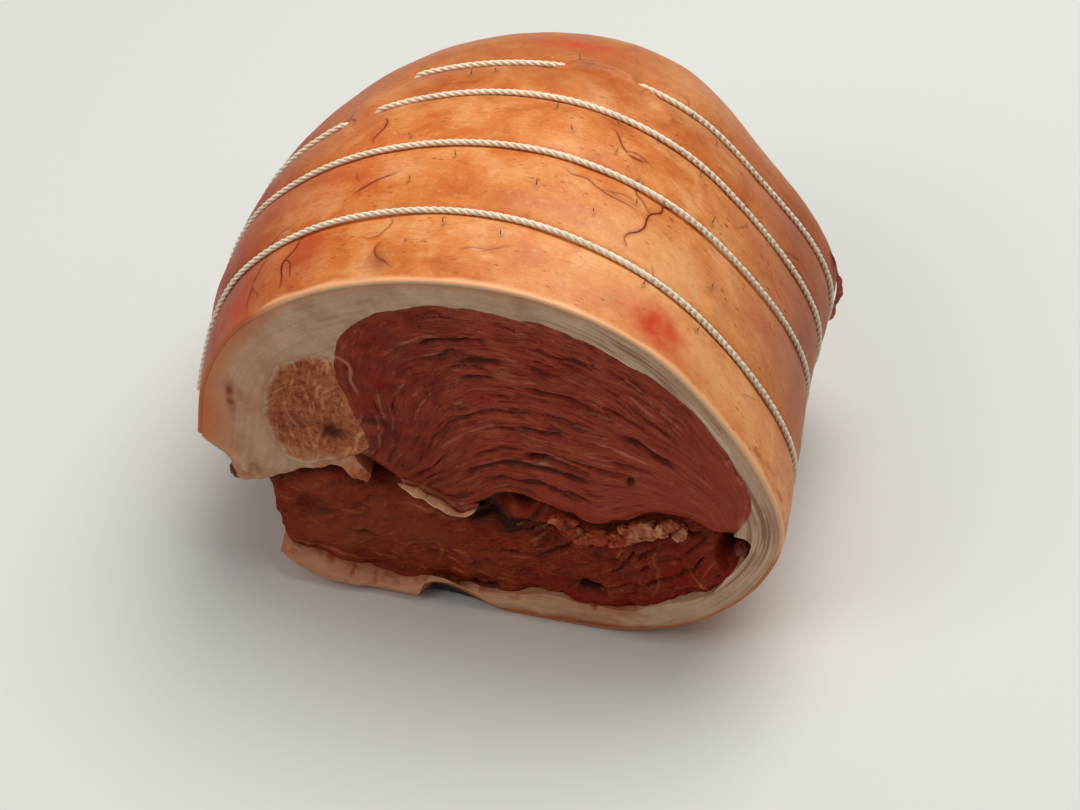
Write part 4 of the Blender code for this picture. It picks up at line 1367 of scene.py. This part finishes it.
def build_lean(look):
    """The three muscles, each a loft with the clefts between its fibre bundles cut into its face."""
    lean = lean_material(look)

    loop = inset(np.vstack([CREVICE_EDGE[::-1][:-1], ROOF_LINE[:-1], PARTING_LINE[::-1][:-1]]), -0.12)

    def upper_face(x, z):
        left = smooth((-14 - x) / 14)
        calm = smooth((x - 34) / 25) * smooth((96 - z) / 20)
        long_clefts = (
            smooth((streaks(x, z, leg_grain, 87, 26, 0.9) - 1.05) / 1.1) * (1 - 0.6 * left - 0.75 * calm)
        )
        short_clefts = smooth((streaks(x, z, leg_grain, 89, 9, 0.8) - 1.3) / 1.0) * (1 - 0.8 * calm)
        rim = smooth(distance_to(np.vstack([loop, loop[:1]]), x, z) / 4)
        clefts = np.maximum(
            along_layers(UPPER_CLEFTS, UPPER_SHARE, x, z, 88),
            rim * np.clip(0.6 * long_clefts + 0.4 * short_clefts, 0, 1),
        )
        gap = bumps(x, z, (1.1, 16, 72.3, 6, 1.9), (0.5, 22, 70.6, 9, 1.4), (0.7, 43.4, 68, 1.8, 3))
        return clefts, gap

    def upper_front(x, z):
        clefts, gap = upper_face(x, z)
        fine = streaks(x, z, leg_grain, 91, 6, 0.7)
        return front_of_upper(x, z) + 0.9 * clefts + 0.1 * fine + 3.2 * gap

    points, triangles, drawn, way = loft(loop, LEVELS, upper_front, 0.58, 101)
    x, z = drawn.T
    clefts, gap = upper_face(x, z)
    crevice = distance_to(CREVICE_LINE, x, z)
    border = np.minimum(distance_to(ROOF_LINE, x, z), distance_to(PARTING_LINE, x, z))
    side = (way > 0.01) & (way < 0.99)
    swirl = smooth((-10 - x) / 20) * smooth((100 - z) / 26)
    parting = distance_to(PARTING_LINE, x, z)
    beside_parting = (
        smooth(1 - np.abs(parting - 5 - rough(z / 5, 0 * z, 97, 2)) / 0.9) * smooth((z - 83) / 4)
        * smooth((107 - z) / 4)
    )
    fields = {
        "bundle": bundle_field(x, z),
        "dark": np.clip(
            0.8 * clefts
            + 0.55 * bump(x, z, -33, 72, 9, 12) * smooth((noise(x / 3.5, z / 3.5, 93) - 0.35) / 0.3)
            + 0.45 * smooth((2 - x) / 26) * noise(x / 4, z / 2.5, 99),
            0, 1,
        ),
        "red": np.clip(
            bumps(
                x, z, (0.75, -30.6, 107, 3.6, 3.4), (0.6, -37, 104, 3.4, 4.5), (0.6, -31.3, 90.5, 4.5, 3.6),
                (0.5, 16, 109, 9, 5), (0.5, -2, 93, 10, 4),
            )
            + 0.4 * smooth(1 - crevice / 6) + 0.45 * smooth((-6 - x) / 18),
            0, 1,
        ) * (0.5 + 0.7 * noise(x / 3, z / 3, 94)),
        "pink": np.clip(
            0.42 * smooth((x - 10) / 40) * smooth((100 - z) / 45) + 0.3 * smooth(1 - crevice / 8)
            + 0.3 * swirl * smooth((noise(x / 5, z / 5, 96) - 0.4) / 0.3),
            0, 1,
        ),
        "skin": np.clip(
            0.3 * smooth(1 - border / 5) * smooth((30 - x) / 30)
            + 0.65 * bump(x, z, -34, 61, 14, 9) * (0.5 + 0.8 * noise(x / 3, z / 2, 98)),
            0, 1,
        ),
        "pale": np.clip(
            0.8 * along_layers(UPPER_MEMBRANES, UPPER_SHARE, x, z, 90) + 0.6 * beside_parting
            + 0.35 * smooth((streaks(x, z, leg_grain, 95, 12, 0.6) - 1.5) / 0.9)
            + 0.8 * bump(x, z, 78, 57, 3.5, 6),
            0, 1,
        ),
        "mottle": np.clip(0.2 + 0.5 * swirl + 0.5 * bump(x, z, -34, 62, 16, 12), 0, 1),
        "parted": 0.5 - 0.35 * smooth((x - 34) / 25) * smooth((96 - z) / 20),
        # Painted shade, near black, in the gaps and on the muscle's side walls.
        "hollow": np.clip(gap + 0.9 * side * smooth((way - 0.01) / 0.03), 0, 1),
    }
    piece("upper_muscle_cut", points, triangles, lean, fields, ("upper_muscle",))

    loop = inset(np.vstack([PARTING_LINE[:-1], POCKET_LINE[:-1]]), -0.12)
    rim_line = np.vstack([loop, loop[:1]])

    def side_grain(x, z):
        turn = 1.3 + 1.5 * rough(x / 11, z / 11, 110, 2)
        return np.cos(turn), np.sin(turn)

    def side_web(x, z):
        flecks = smooth((streaks(x, z, side_grain, 113, 5, 0.8) - 0.7) / 1.3)
        strands = smooth((streaks(x, z, side_grain, 115, 10, 0.6) - 1.1) / 1.0)
        right = smooth(1 - distance_to(PARTING_LINE, x, z) / 8)
        low = smooth((62 - z) / 8)
        return np.clip(
            flecks * (0.7 + 0.5 * right + 0.4 * low) + 0.6 * strands
            + 0.45 * right * noise(x / 2, z / 5, 117) + 0.3 * low,
            0, 1,
        )

    def side_front(x, z):
        fade = smooth(distance_to(rim_line, x, z) / 2.5)
        return (
            front_of_side(x, z)
            + fade
            * (
                0.35 * (1 - side_web(x, z)) + 0.3 * rough(x / 3, z / 3, 119, 3)
                + 0.9 * bump(x, z, -47, 66.5, 6, 5)
            )
        )

    points, triangles, drawn, way = loft(loop, LEVELS, side_front, 0.55, 121)
    x, z = drawn.T
    border = distance_to(rim_line, x, z)
    fields = {
        "web": 0.85 * side_web(x, z),
        "fatty": np.clip(
            smooth(1 - border / 2.2) * (0.35 + 0.6 * noise(x / 1.6, z / 1.6, 111)) * (x < -46)
            + 0.55 * smooth((60 - z) / 9) * noise(x / 3, z / 3, 112),
            0, 1,
        ),
        "dark": np.clip(
            1.2 * bump(x, z, -46.8, 66.8, 6.2, 5.2) * (0.7 + 0.5 * noise(x, z, 118))
            + 0.5 * bump(x, z, -57, 69, 4, 3.4),
            0, 1,
        ),
        # Painted shade, near black, on the muscle's side walls.
        "hollow": 0.9 * ((way > 0.02) & (way < 0.98)),
    }
    piece(
        "side_muscle_cut", points, triangles, marbled_material(look), fields,
        ("side_muscle",),
    )

    loop = inset(
        np.vstack(
            [
                STRIP_LINE[:-1], even(CORNER, 1.0)[:-1], CREVICE_EDGE[:-1], SHELF_LINE[:-1],
                even(OPEN_SIDE, 1.0)[::-1][:-1],
            ]
        ),
        -0.1
    )

    def lower_face(x, z):
        weave = (
            smooth((streaks(x, z, low_grain, 131, 13, 1.4) - 1.0) / 1.0)
            * (0.45 + 0.45 * smooth((x + 5) / 25))
        )
        clefts = np.maximum(along_layers(LOWER_CLEFTS, LOWER_SHARE, x, z, 132), 0.6 * weave)
        ring = smooth(1 - np.abs(np.hypot((x + 55.5) / 1.1, z - 32) - 3.6) / 2.0) * smooth((40 - z) / 4)
        pit = bumps(
            x, z, (0.5, -55.5, 32, 7.5, 6), (0.6, -40, 34.5, 6, 4), (0.9, 31.5, 16, 8, 3.4),
            (0.9, 19, 37, 7, 3.4),
        )
        return clefts, pit, ring

    def lower_front(x, z):
        clefts, pit, _ = lower_face(x, z)
        swell = bumps(
            x, z, (-1.8, -25, 31, 20, 11), (-1.4, -45, 21, 16, 10), (-1.6, 64, 33, 10, 9),
            (-1.0, -21, 20, 5, 6),
        )
        return (
            front_of_lower(x, z) + swell + 2.0 * clefts + 2.6 * pit + 1.3 * rough(x / 15, z / 9, 133, 2)
            + 1.1 * rough(x / 5.5, z / 3.6, 137, 3) + 0.08 * streaks(x, z, low_grain, 135, 5, 0.8)
        )

    points, triangles, drawn, way = loft(loop, LEVELS, lower_front, 0.62, 141)
    x, z = drawn.T
    clefts, pit, ring = lower_face(x, z)
    crevice = distance_to(CREVICE_LINE, x, z)
    shelf = distance_to(SHELF_LINE, x, z)
    side = (way > 0.01) & (way < 0.99)
    open_side = distance_to(even(OPEN_SIDE, 1.0), x, z) < 1.5
    damp = 1 - smooth(distance_to(STRIP_LINE, x, z) / 7)
    lobe = smooth(1 - distance_to(HANGING_LOBE, x, z) / 6)
    strip = distance_to(STRIP_LINE, x, z)
    seam = 1.2 * rough(z / 6, 0 * z, 152, 2)
    # Pale films of membrane, painted bright so that they also stand for wet sheen.
    films_and_sheen = smooth(1 - np.abs(strip - 2.4) / 0.7) * smooth((x + 63) / 4) * smooth((-38 - x) / 4)
    swell_edge = np.hypot((x + 21) / 1.3, z - 20) - 5.2 - 1.6 * rough(x / 5, z / 5, 153, 2)
    films_and_sheen = films_and_sheen + 0.5 * smooth(1 - np.abs(swell_edge) / 0.6) * smooth((z - 15) / 5)
    films_and_sheen = (
        films_and_sheen + 0.7 * smooth(1 - np.abs(x - 52 - seam) / 0.8) * smooth((z - 16) / 4) * smooth((38 - z) / 4)
    )
    films_and_sheen = (
        films_and_sheen
        + smooth(1 - np.abs(x - 62 - 0.6 * (34 - z) - seam) / 0.8) * smooth((z - 23) / 3)
        * smooth((35 - z) / 3)
    )
    holes = bumps(x, z, (1.6, -33.5, 52.5, 8.5, 7), (1.5, -38, 57, 5, 4), (1.7, 73.6, 44.5, 2.6, 6.5))
    fields = {
        "bundle": np.stack(
            [x * 0.96 + z * 0.25, z * 0.96 - x * 0.25, 0 * x], 1
        ) + 3.0 * rough(x / 20, z / 20, 145, 2)[:, None],
        # Dark clefts, and painted shade in the pits, along the crevice under the upper muscle and under the
        # shelf of fat.
        "dark": np.clip(
            0.95 * clefts + 0.6 * smooth((7 - crevice) / 6) * (x < 8)
            + 0.45 * ring * noise(x / 3, z / 3, 154) + 0.55 * pit
            + 1.1 * bump(x, z, 4, 40, 18, 9) * (0.3 + noise(x / 3, z / 3, 144))
            + 0.55 * smooth(1 - shelf / 7),
            0, 1,
        ) * (~side | open_side),
        "red": np.clip(
            bumps(x, z, (1.1, -62, 35, 2.6, 4), (0.9, -65, 37, 2.2, 3), (0.5, -55.5, 33.5, 4, 4))
            + 0.85 * damp * smooth((x - 14) / 14) + 0.9 * bump(x, z, 60, 30, 20, 18)
            + 0.35 * bump(x, z, -42, 36, 8, 5),
            0, 1,
        ) * (0.45 + 0.75 * noise(x / 3, z / 2.4, 148)),
        "pink": np.clip(
            0.75 * lobe + 0.5 * smooth(rough(x / 9, z / 6, 146, 3) * 1.6 - 0.2)
            + 0.4 * bump(x, z, -63, 42, 6, 5),
            0, 1,
        ),
        "skin": np.clip(
            bumps(x, z, (0.9, -25, 32, 20, 13), (0.8, -48, 22, 19, 11), (0.7, -52, 42, 12, 4))
            + 0.4 * smooth((8 - x) / 30),
            0, 1,
        ) * (0.4 + 0.7 * noise(x / 6, z / 5, 147)),
        "pale": np.clip(
            0.85 * along_layers(LOWER_MEMBRANES, LOWER_SHARE, x, z, 150) + 0.8 * films_and_sheen
            + 0.5 * smooth((streaks(x, z, low_grain, 149, 6, 0.8) - 1.4) / 0.8)
            + 0.3 * bump(x, z, -20, 38, 12, 3) * noise(x / 1.5, z / 1.2, 151),
            0, 1,
        ),
        "mottle": 0.7 + 0 * x,
        "parted": 0.6 + 0 * x,
        # Painted shade, near black, in the holes and on the side walls, except along the open side.
        "hollow": np.clip(holes + 0.95 * side * ~open_side, 0, 1),
    }
    darker = lean_material(look, "raw lean, dark and moist", look.lean_lower[:])
    piece("lower_muscle_cut", points, triangles, darker, fields, ("lower_muscle",))


def build_torn_fat():
    """Bits of fat, membrane and meat torn along the crevice and the back, and the curled sheet of fat."""
    torn = torn_material()

    # Lumps strewn along the right half of the crevice.
    draw = np.random.default_rng(300)
    line = even(((24, 45), (31, 41.5), (40, 43), (47, 46.5), (53, 50), (58, 51)), 2.6)
    radii = draw.uniform((2.4, 2.0, 1.1), (4.8, 3.0, 2.4), (len(line), 3))
    shift = draw.uniform(-1.0, 1.0, (len(line), 3)) * (1.0, 0.5, 2.2)
    centres = np.stack([line[:, 0], 0 * line[:, 0] + 1.4, line[:, 1]], 1) + shift
    parts = [blob(centre, size, 300 + k, 0.36, 2.0) for k, (centre, size) in enumerate(zip(centres, radii))]
    points, triangles = joined(parts)
    x, z = points[:, 0], points[:, 2]
    fields = {
        "rim": 0.5 * noise(x / 2.2, z / 1.8, 161) * smooth((x - 40) / 8),
        "dark": 0.55 * smooth((noise(x / 3, z / 3, 163) - 0.55) / 0.3),
    }
    piece("torn_fat_lumps", points, triangles, torn, fields, sharp=70)

    # The curled sheet of fat: a flattened tube just under the crevice's edge, bright along its lower side,
    # on a thin sheet.
    edge = CREVICE_EDGE[(CREVICE_EDGE[:, 0] > -27.5) & (CREVICE_EDGE[:, 0] < -2.5)][::-1]
    path = np.stack([edge[:, 0], 0 * edge[:, 0] - 0.7, edge[:, 1] - 1.2], 1)
    share = np.linspace(0, 1, len(path))
    ends = smooth(share * 9 + 0.1) * smooth((1 - share) * 6 + 0.1)
    thick = ends * (1.15 - 0.5 * share) * (1 + 0.5 * rough(share * 9, 0 * share, 165, 3))
    curl, curl_triangles = tube(path, thick, 16, flat=1.35)
    sheet, sheet_triangles = tube(path + (0.3, 2.2, 0.4), 1.5 * ends, 12, flat=1.6)
    points, triangles = joined([(curl, curl_triangles), (sheet, sheet_triangles)])
    low_side = np.tile(smooth(-np.sin(np.linspace(0, 2 * math.pi, 16, endpoint=False)) * 2), len(path))
    rim = np.r_[0.4 + 0.6 * low_side, 0.5, 0.5, np.full(len(sheet), 0.1)]
    dark = np.r_[0.1 * (1 - low_side), 0.1, 0.1, np.full(len(sheet), 0.35)]
    piece("curled_fat", points, triangles, torn, {"rim": rim, "dark": dark}, sharp=70)

    # A red scrap in the right corner, and a dark flap behind the fat's lower left edge.
    scrap = blob((77, 1.6, 47), (1.8, 2.4, 3.2), 341, 0.3)
    flap = blob((-79.6, 5.5, 38.2), (2.6, 2.6, 3.4), 343, 0.3)
    points, triangles = joined([scrap, flap])
    piece(
        "meat_scraps", points, triangles, torn,
        {"rim": np.zeros(len(points)), "dark": np.full(len(points), 0.95)}, sharp=70,
    )

    # The ragged edge that stands out at the back on the right: a thin sheet along the skin's back rim.
    s = np.linspace(0, 1, 70)
    v = np.linspace(0, 1, 10)
    tt = 7.72 + 1.25 * s
    ends = smooth(s / 0.12) * smooth((1 - s) / 0.2)
    reach = ends * (0.5 + 1.3 * np.clip(rough(s * 6, 0 * s, 351, 4) + 0.5, 0, 1.4))
    y = back(*catmull(RIND, tt).T) + back_relief(*catmull(RIND, tt).T) - 3.5
    base, out = rind_point(tt, y), rind_normal(tt, y)
    top = np.array(
        [
            base + out * (0.6 + reach[:, None] * f) + np.array([0, 1, 0]) * (reach[:, None] * f * 0.6)
            for f in v
        ]
    )
    thickness = (0.55 * (1 - 0.6 * v))[:, None, None] * np.array([0.1, 0.9, -0.1])
    wave = 0.35 * rough(s * 9, 0 * s, 357, 3)[None, :, None] * v[:, None, None] * np.array([0, 1, 0])
    sheet = np.concatenate([top + thickness + wave, (top - thickness + wave)[::-1]])
    rows, columns = sheet.shape[:2]
    ring = np.arange(rows)
    points = np.vstack([sheet.reshape(-1, 3), sheet[:, 0].mean(0), sheet[:, -1].mean(0)])
    near, far = ring * columns, ring * columns + columns - 1
    triangles = np.vstack(
        [
            grid_triangles(rows, columns, closed=True), fan(rows * columns, near),
            fan(rows * columns + 1, far, True),
        ]
    )
    piece(
        "ragged_back_edge", points, triangles, torn,
        {"rim": np.zeros(len(points)), "dark": np.full(len(points), 0.3)}, sharp=70,
    )


def twisted(path, radius, pitch, closed):
    """Three plies wound round a path: each turns about it once per pitch, a third of a turn from the next."""
    step = np.roll(path, -1, 0) - np.roll(path, 1, 0) if closed else np.gradient(path, axis=0)
    length = np.linalg.norm(np.diff(path, axis=0), axis=1)
    run = np.r_[0, np.cumsum(length)]
    total = run[-1] + (np.linalg.norm(path[0] - path[-1]) if closed else 0)
    turns = max(1, round(total / pitch)) if closed else total / pitch
    step /= np.linalg.norm(step, axis=1, keepdims=True)
    up = np.array([0, 1.0, 0]) - step * step[:, 1:2]
    up /= np.linalg.norm(up, axis=1, keepdims=True)
    over = np.cross(step, up)
    parts, fields = [], []
    for ply in range(3):
        angle = 2 * math.pi * (turns * run / total + ply / 3)
        axis = path + radius * 0.5 * (np.cos(angle)[:, None] * up + np.sin(angle)[:, None] * over)
        points, triangles = tube(axis, radius * 0.54, 8, closed)
        along = np.repeat(run, 8)
        round_ = np.tile(np.arange(8) * 2 * math.pi / 8 * radius * 0.54, len(path)) + along * 0.5
        if not closed:
            along, round_ = np.r_[along, 0, run[-1]], np.r_[round_, 0, 0]
        parts.append((points, triangles))
        fields.append(np.stack([along, round_ + ply * 5, 0 * along], 1))
    return parts, fields


def build_twine(look):
    """Each loop of twine in its groove, taut across the open seam, where it is knotted."""
    cotton = twine_material(look)
    radius = look.twine_diameter / MM / 2
    pitch = look.twine_lay / MM
    for index, name in enumerate(TWINE):
        slack = 1 + 0.3 * math.sin(2.3 * index - 1.5)  # the tails of each knot have lengths of their own
        coarse = np.linspace(0, RIND_ENDS, 900)[:-1]
        y = twine_y(name, coarse)
        deep = sink(coarse) + 2.6 * buried(name, coarse) - 0.1
        path = rind_point(coarse, y) - deep[:, None] * rind_normal(coarse, y)
        path[:, 2] = np.maximum(path[:, 2], radius + 0.1)
        turn, end, start = squeeze(-67.6, 4.6, y[-1]), squeeze(-68.9, 9.6, y[-1]), path[0]
        bridge = even(np.array([path[-1], turn, end, end + (start - end) * 0.5, start]), 0.7)
        bridge[:, 2] = np.maximum(bridge[:, 2], radius + 0.1)
        path = np.vstack([path, bridge[1:-1]])
        run = np.r_[0, np.cumsum(np.linalg.norm(np.diff(np.vstack([path, path[:1]]), axis=0), axis=1))]
        at = np.linspace(0, run[-1], round(run[-1] / 0.7) + 1)[:-1]
        path = np.stack([np.interp(at, run, np.r_[path[:, k], path[0, k]]) for k in range(3)], 1)
        parts, fields = twisted(path, radius, pitch, True)
        # The knot: two and a half turns wound round the taut string, and two tails.
        centre = end + (start - end) * 0.54 + (-0.4, 0, 0)
        way = (start - end) / np.linalg.norm(start - end)
        side = np.cross(way, (0, 1.0, 0))
        side /= np.linalg.norm(side)
        turn_angle = np.linspace(0, 2 * math.pi * 2.5, 60)
        wound = centre + way * ((turn_angle / turn_angle[-1] - 0.5) * 3.4)[:, None] + 1.5 * (
            np.cos(turn_angle)[:, None] * side + np.sin(turn_angle)[:, None] * np.array([0, 1.0, 0])
        )
        more, extra = twisted(wound, radius * 0.92, pitch, False)
        parts, fields = parts + more, fields + extra
        for hand in (-1, 1):
            steps = np.array(
                [
                    (-0.3, hand * 0.6, 0), (-1.8, hand * 2.2, -0.8), (-2.6, hand * 3.6, -4.4 * slack),
                    (-2.4, hand * 4.6 * slack, -8.6 * slack),
                ]
            )
            out = even(centre + steps, 0.7)
            more, extra = twisted(out, radius * 0.95, pitch, False)
            parts, fields = parts + more, fields + extra
        points, triangles = joined(parts)
        points[:, 2] = np.maximum(points[:, 2], 0.05)
        piece(
            "twine" + name[-2:], points, triangles, cotton, {"ply": np.vstack(fields)}, (name,),
            sharp=80,
        )


def build_bristles(look):
    """Short dark hairs left in the skin: thin tapering bent tubes that lean towards the back."""
    material = bristle_material()
    s = np.linspace(0, 1, 7)
    parts = []
    for k, (t, y, length) in enumerate(bristle_places()):
        at, dist = np.array([t]), np.array([y])
        root, out = rind_point(at, dist)[0], rind_normal(at, dist)[0]
        root = root + out * float(skin_relief(at, dist, look.groove_depth / MM)[0])
        lean = np.array([-0.25 + 0.3 * math.sin(k * 2.4), 1.0, 0])
        lean -= out * lean.dot(out)
        lean /= np.linalg.norm(lean)
        bend = 0.25 + 0.2 * math.sin(k * 1.7)
        path = (
            root + 0.75 * length * ((s * (1 - bend * s))[:, None] * out * 0.3 + (s[:, None] * 0.9) * lean)
            - out * 0.5 * (1 - s)[:, None]
        )
        parts.append(tube(path, 0.2 * (1 - 0.72 * s), 6))
    points, triangles = joined(parts)
    return piece("bristles", points, triangles, material)


def build_stage(look):
    """A plain pale floor, a soft light high behind on the right, a weak one in front, and the camera."""
    mesh = bpy.data.meshes.new("floor")
    mesh.from_pydata([(-4, -4, 0), (4, -4, 0), (4, 4, 0), (-4, 4, 0)], [], [(0, 1, 2, 3)])
    mesh.materials.append(floor_material(look))
    ground = bpy.data.objects.new("floor", mesh)
    bpy.context.scene.collection.objects.link(ground)

    world = bpy.data.worlds.new("studio")
    world.use_nodes = True
    world.node_tree.nodes["Background"].inputs["Color"].default_value = linear("#eef1f4")
    world.node_tree.nodes["Background"].inputs["Strength"].default_value = look.ambient
    bpy.context.scene.world = world
    # name, place, aim, size, power in watts, colour
    lights = (
        ("key", (0.2, 0.38, 1.4), (0, 0.0, 0.05), 1.15, 17.4, "#fffdf8"),
        ("fill", (-0.8, -0.85, 1.15), (0, -0.05, 0.05), 0.8, 5.4, "#fffaf4"),
    )
    for name, place, aim, size, power, colour in lights:
        lamp = bpy.data.lights.new(name, "AREA")
        lamp.shape = "SQUARE"
        lamp.size = size
        lamp.energy = power
        lamp.color = linear(colour)[:3]
        obj = bpy.data.objects.new(name, lamp)
        obj.location = place
        obj.rotation_euler = (Vector(place) - Vector(aim)).to_track_quat("Z", "Y").to_euler()
        bpy.context.scene.collection.objects.link(obj)

    azimuth, elevation, distance = math.radians(14), math.radians(45), 0.9
    target = Vector((-0.00111, 0.015, 0))
    away = Vector(
        (
            math.sin(azimuth) * math.cos(elevation), -math.cos(azimuth) * math.cos(elevation),
            math.sin(elevation),
        )
    )
    data = bpy.data.cameras.new("camera")
    data.sensor_width = 36
    data.lens = 90
    camera = bpy.data.objects.new("camera", data)
    camera.location = target + away * distance
    camera.rotation_euler = away.to_track_quat("Z", "Y").to_euler()
    bpy.context.scene.collection.objects.link(camera)
    bpy.context.scene.camera = camera
    bpy.context.scene.view_settings.view_transform = "Standard"
    bpy.context.scene.view_settings.look = "None"
    bpy.context.scene.view_settings.gamma = 0.82


# ---------------------------------------------------------------- the add-on


def colour_property(label, about, code):
    """A colour that the user may change, with its default given as sRGB hex."""
    return bpy.props.FloatVectorProperty(
        name=label, description=about, subtype="COLOR", size=4, min=0, max=1, default=linear(code)
    )


class PorkLegLook(bpy.types.PropertyGroup):
    """Sizes and colours of the finished joint."""

    groove_depth: bpy.props.FloatProperty(
        name="Groove depth", description="How deep the twine presses the skin in", default=0.00125, min=0,
        max=0.003, subtype="DISTANCE", unit="LENGTH",
    )
    twine_diameter: bpy.props.FloatProperty(
        name="Twine diameter", description="Thickness of the twisted twine", default=0.0019, min=0.0005,
        max=0.004, subtype="DISTANCE", unit="LENGTH",
    )
    twine_lay: bpy.props.FloatProperty(
        name="Twine lay", description="Length of one full turn of a ply", default=0.0072, min=0.002,
        max=0.02, subtype="DISTANCE", unit="LENGTH",
    )
    rind: colour_property("Skin", "Main colour of the skin", "#e29351")
    rind_deep: colour_property("Skin, deep", "Darker clouds in the skin", "#cf7334")
    rind_light: colour_property("Skin, light", "Lighter clouds in the skin", "#eeb07a")
    rim: colour_property("Skin at the cut", "Pale rim of the skin beside the cut", "#ffc79a")
    rim_cut: colour_property("Skin, cut through", "Cut edge of the skin", "#c4703c")
    fat: colour_property("Fat", "Lighter fat on the cut face", "#d3b497")
    fat_shade: colour_property("Fat, shaded", "Darker fat on the cut face", "#bd957a")
    lean: colour_property("Lean", "Main colour of the cut lean", "#a6462d")
    lean_deep: colour_property("Lean, deep", "Darker bundles of the lean", "#8b331f")
    lean_light: colour_property("Lean, light", "Lighter bundles of the lean", "#b65c3f")
    lean_lower: colour_property("Lean below, tint", "Tint over the lower muscle", "#e4c4a0")
    marbled: colour_property("Marbled lean", "Main colour of the side muscle", "#ae603a")
    twine: colour_property("Twine", "Cotton of the twine", "#fff6e4")
    twine_shade: colour_property("Twine, between fibres", "Cotton between the fibres", "#ece0c8")
    floor: colour_property("Floor", "Colour of the floor", "#e3e4e1")
    ambient: bpy.props.FloatProperty(
        name="Ambient light", description="Strength of the even light from all round", default=0.32, min=0,
        max=3, subtype="FACTOR",
    )


class PORKLEG_OT_rind(bpy.types.Operator):
    """Build the skin"""

    bl_idname = "porkleg.rind"
    bl_label = "Skin"

    def execute(self, context):
        build_rind(context.scene.pork_leg_look)
        return {"FINISHED"}


class PORKLEG_OT_fat(bpy.types.Operator):
    """Build the fat under the skin"""

    bl_idname = "porkleg.fat"
    bl_label = "Fat"

    def execute(self, context):
        build_fat(context.scene.pork_leg_look)
        return {"FINISHED"}


class PORKLEG_OT_lean(bpy.types.Operator):
    """Build the three muscles"""

    bl_idname = "porkleg.lean"
    bl_label = "Muscles"

    def execute(self, context):
        build_lean(context.scene.pork_leg_look)
        return {"FINISHED"}


class PORKLEG_OT_torn_fat(bpy.types.Operator):
    """Build the torn bits of fat and meat"""

    bl_idname = "porkleg.torn_fat"
    bl_label = "Torn Fat"

    def execute(self, context):
        build_torn_fat()
        return {"FINISHED"}


class PORKLEG_OT_twine(bpy.types.Operator):
    """Build the four loops of twine"""

    bl_idname = "porkleg.twine"
    bl_label = "Twine"

    def execute(self, context):
        build_twine(context.scene.pork_leg_look)
        return {"FINISHED"}


class PORKLEG_OT_bristles(bpy.types.Operator):
    """Build the bristles left in the skin"""

    bl_idname = "porkleg.bristles"
    bl_label = "Bristles"

    def execute(self, context):
        build_bristles(context.scene.pork_leg_look)
        return {"FINISHED"}


class PORKLEG_OT_stage(bpy.types.Operator):
    """Build the floor, the lights and the camera"""

    bl_idname = "porkleg.stage"
    bl_label = "Stage"

    def execute(self, context):
        build_stage(context.scene.pork_leg_look)
        return {"FINISHED"}


OPERATORS = (
    PORKLEG_OT_rind, PORKLEG_OT_fat, PORKLEG_OT_lean, PORKLEG_OT_torn_fat, PORKLEG_OT_twine,
    PORKLEG_OT_bristles,
    PORKLEG_OT_stage,
)


class PORKLEG_PT_panel(bpy.types.Panel):
    """Lists the pieces of the joint"""

    bl_idname = "PORKLEG_PT_panel"
    bl_label = "Rolled Leg of Pork"
    bl_space_type = "VIEW_3D"
    bl_region_type = "UI"
    bl_category = "Pork Leg"

    def draw(self, context):
        look = context.scene.pork_leg_look
        for name in PorkLegLook.__annotations__:
            self.layout.prop(look, name)
        for operator in OPERATORS:
            self.layout.operator(operator.bl_idname)


CLASSES = (PorkLegLook, *OPERATORS, PORKLEG_PT_panel)


def register():
    """Registers the classes and hangs the look on the scene."""
    for cls in CLASSES:
        bpy.utils.register_class(cls)
    bpy.types.Scene.pork_leg_look = bpy.props.PointerProperty(type=PorkLegLook)


def unregister():
    """Takes the look off the scene and the classes out."""
    del bpy.types.Scene.pork_leg_look
    for cls in reversed(CLASSES):
        bpy.utils.unregister_class(cls)


def main():
    """Builds every piece and the stage."""
    register()
    bpy.ops.porkleg.stage()
    bpy.ops.porkleg.rind()
    bpy.ops.porkleg.fat()
    bpy.ops.porkleg.lean()
    bpy.ops.porkleg.torn_fat()
    bpy.ops.porkleg.twine()
    bpy.ops.porkleg.bristles()


if __name__ == "__main__":
    main()
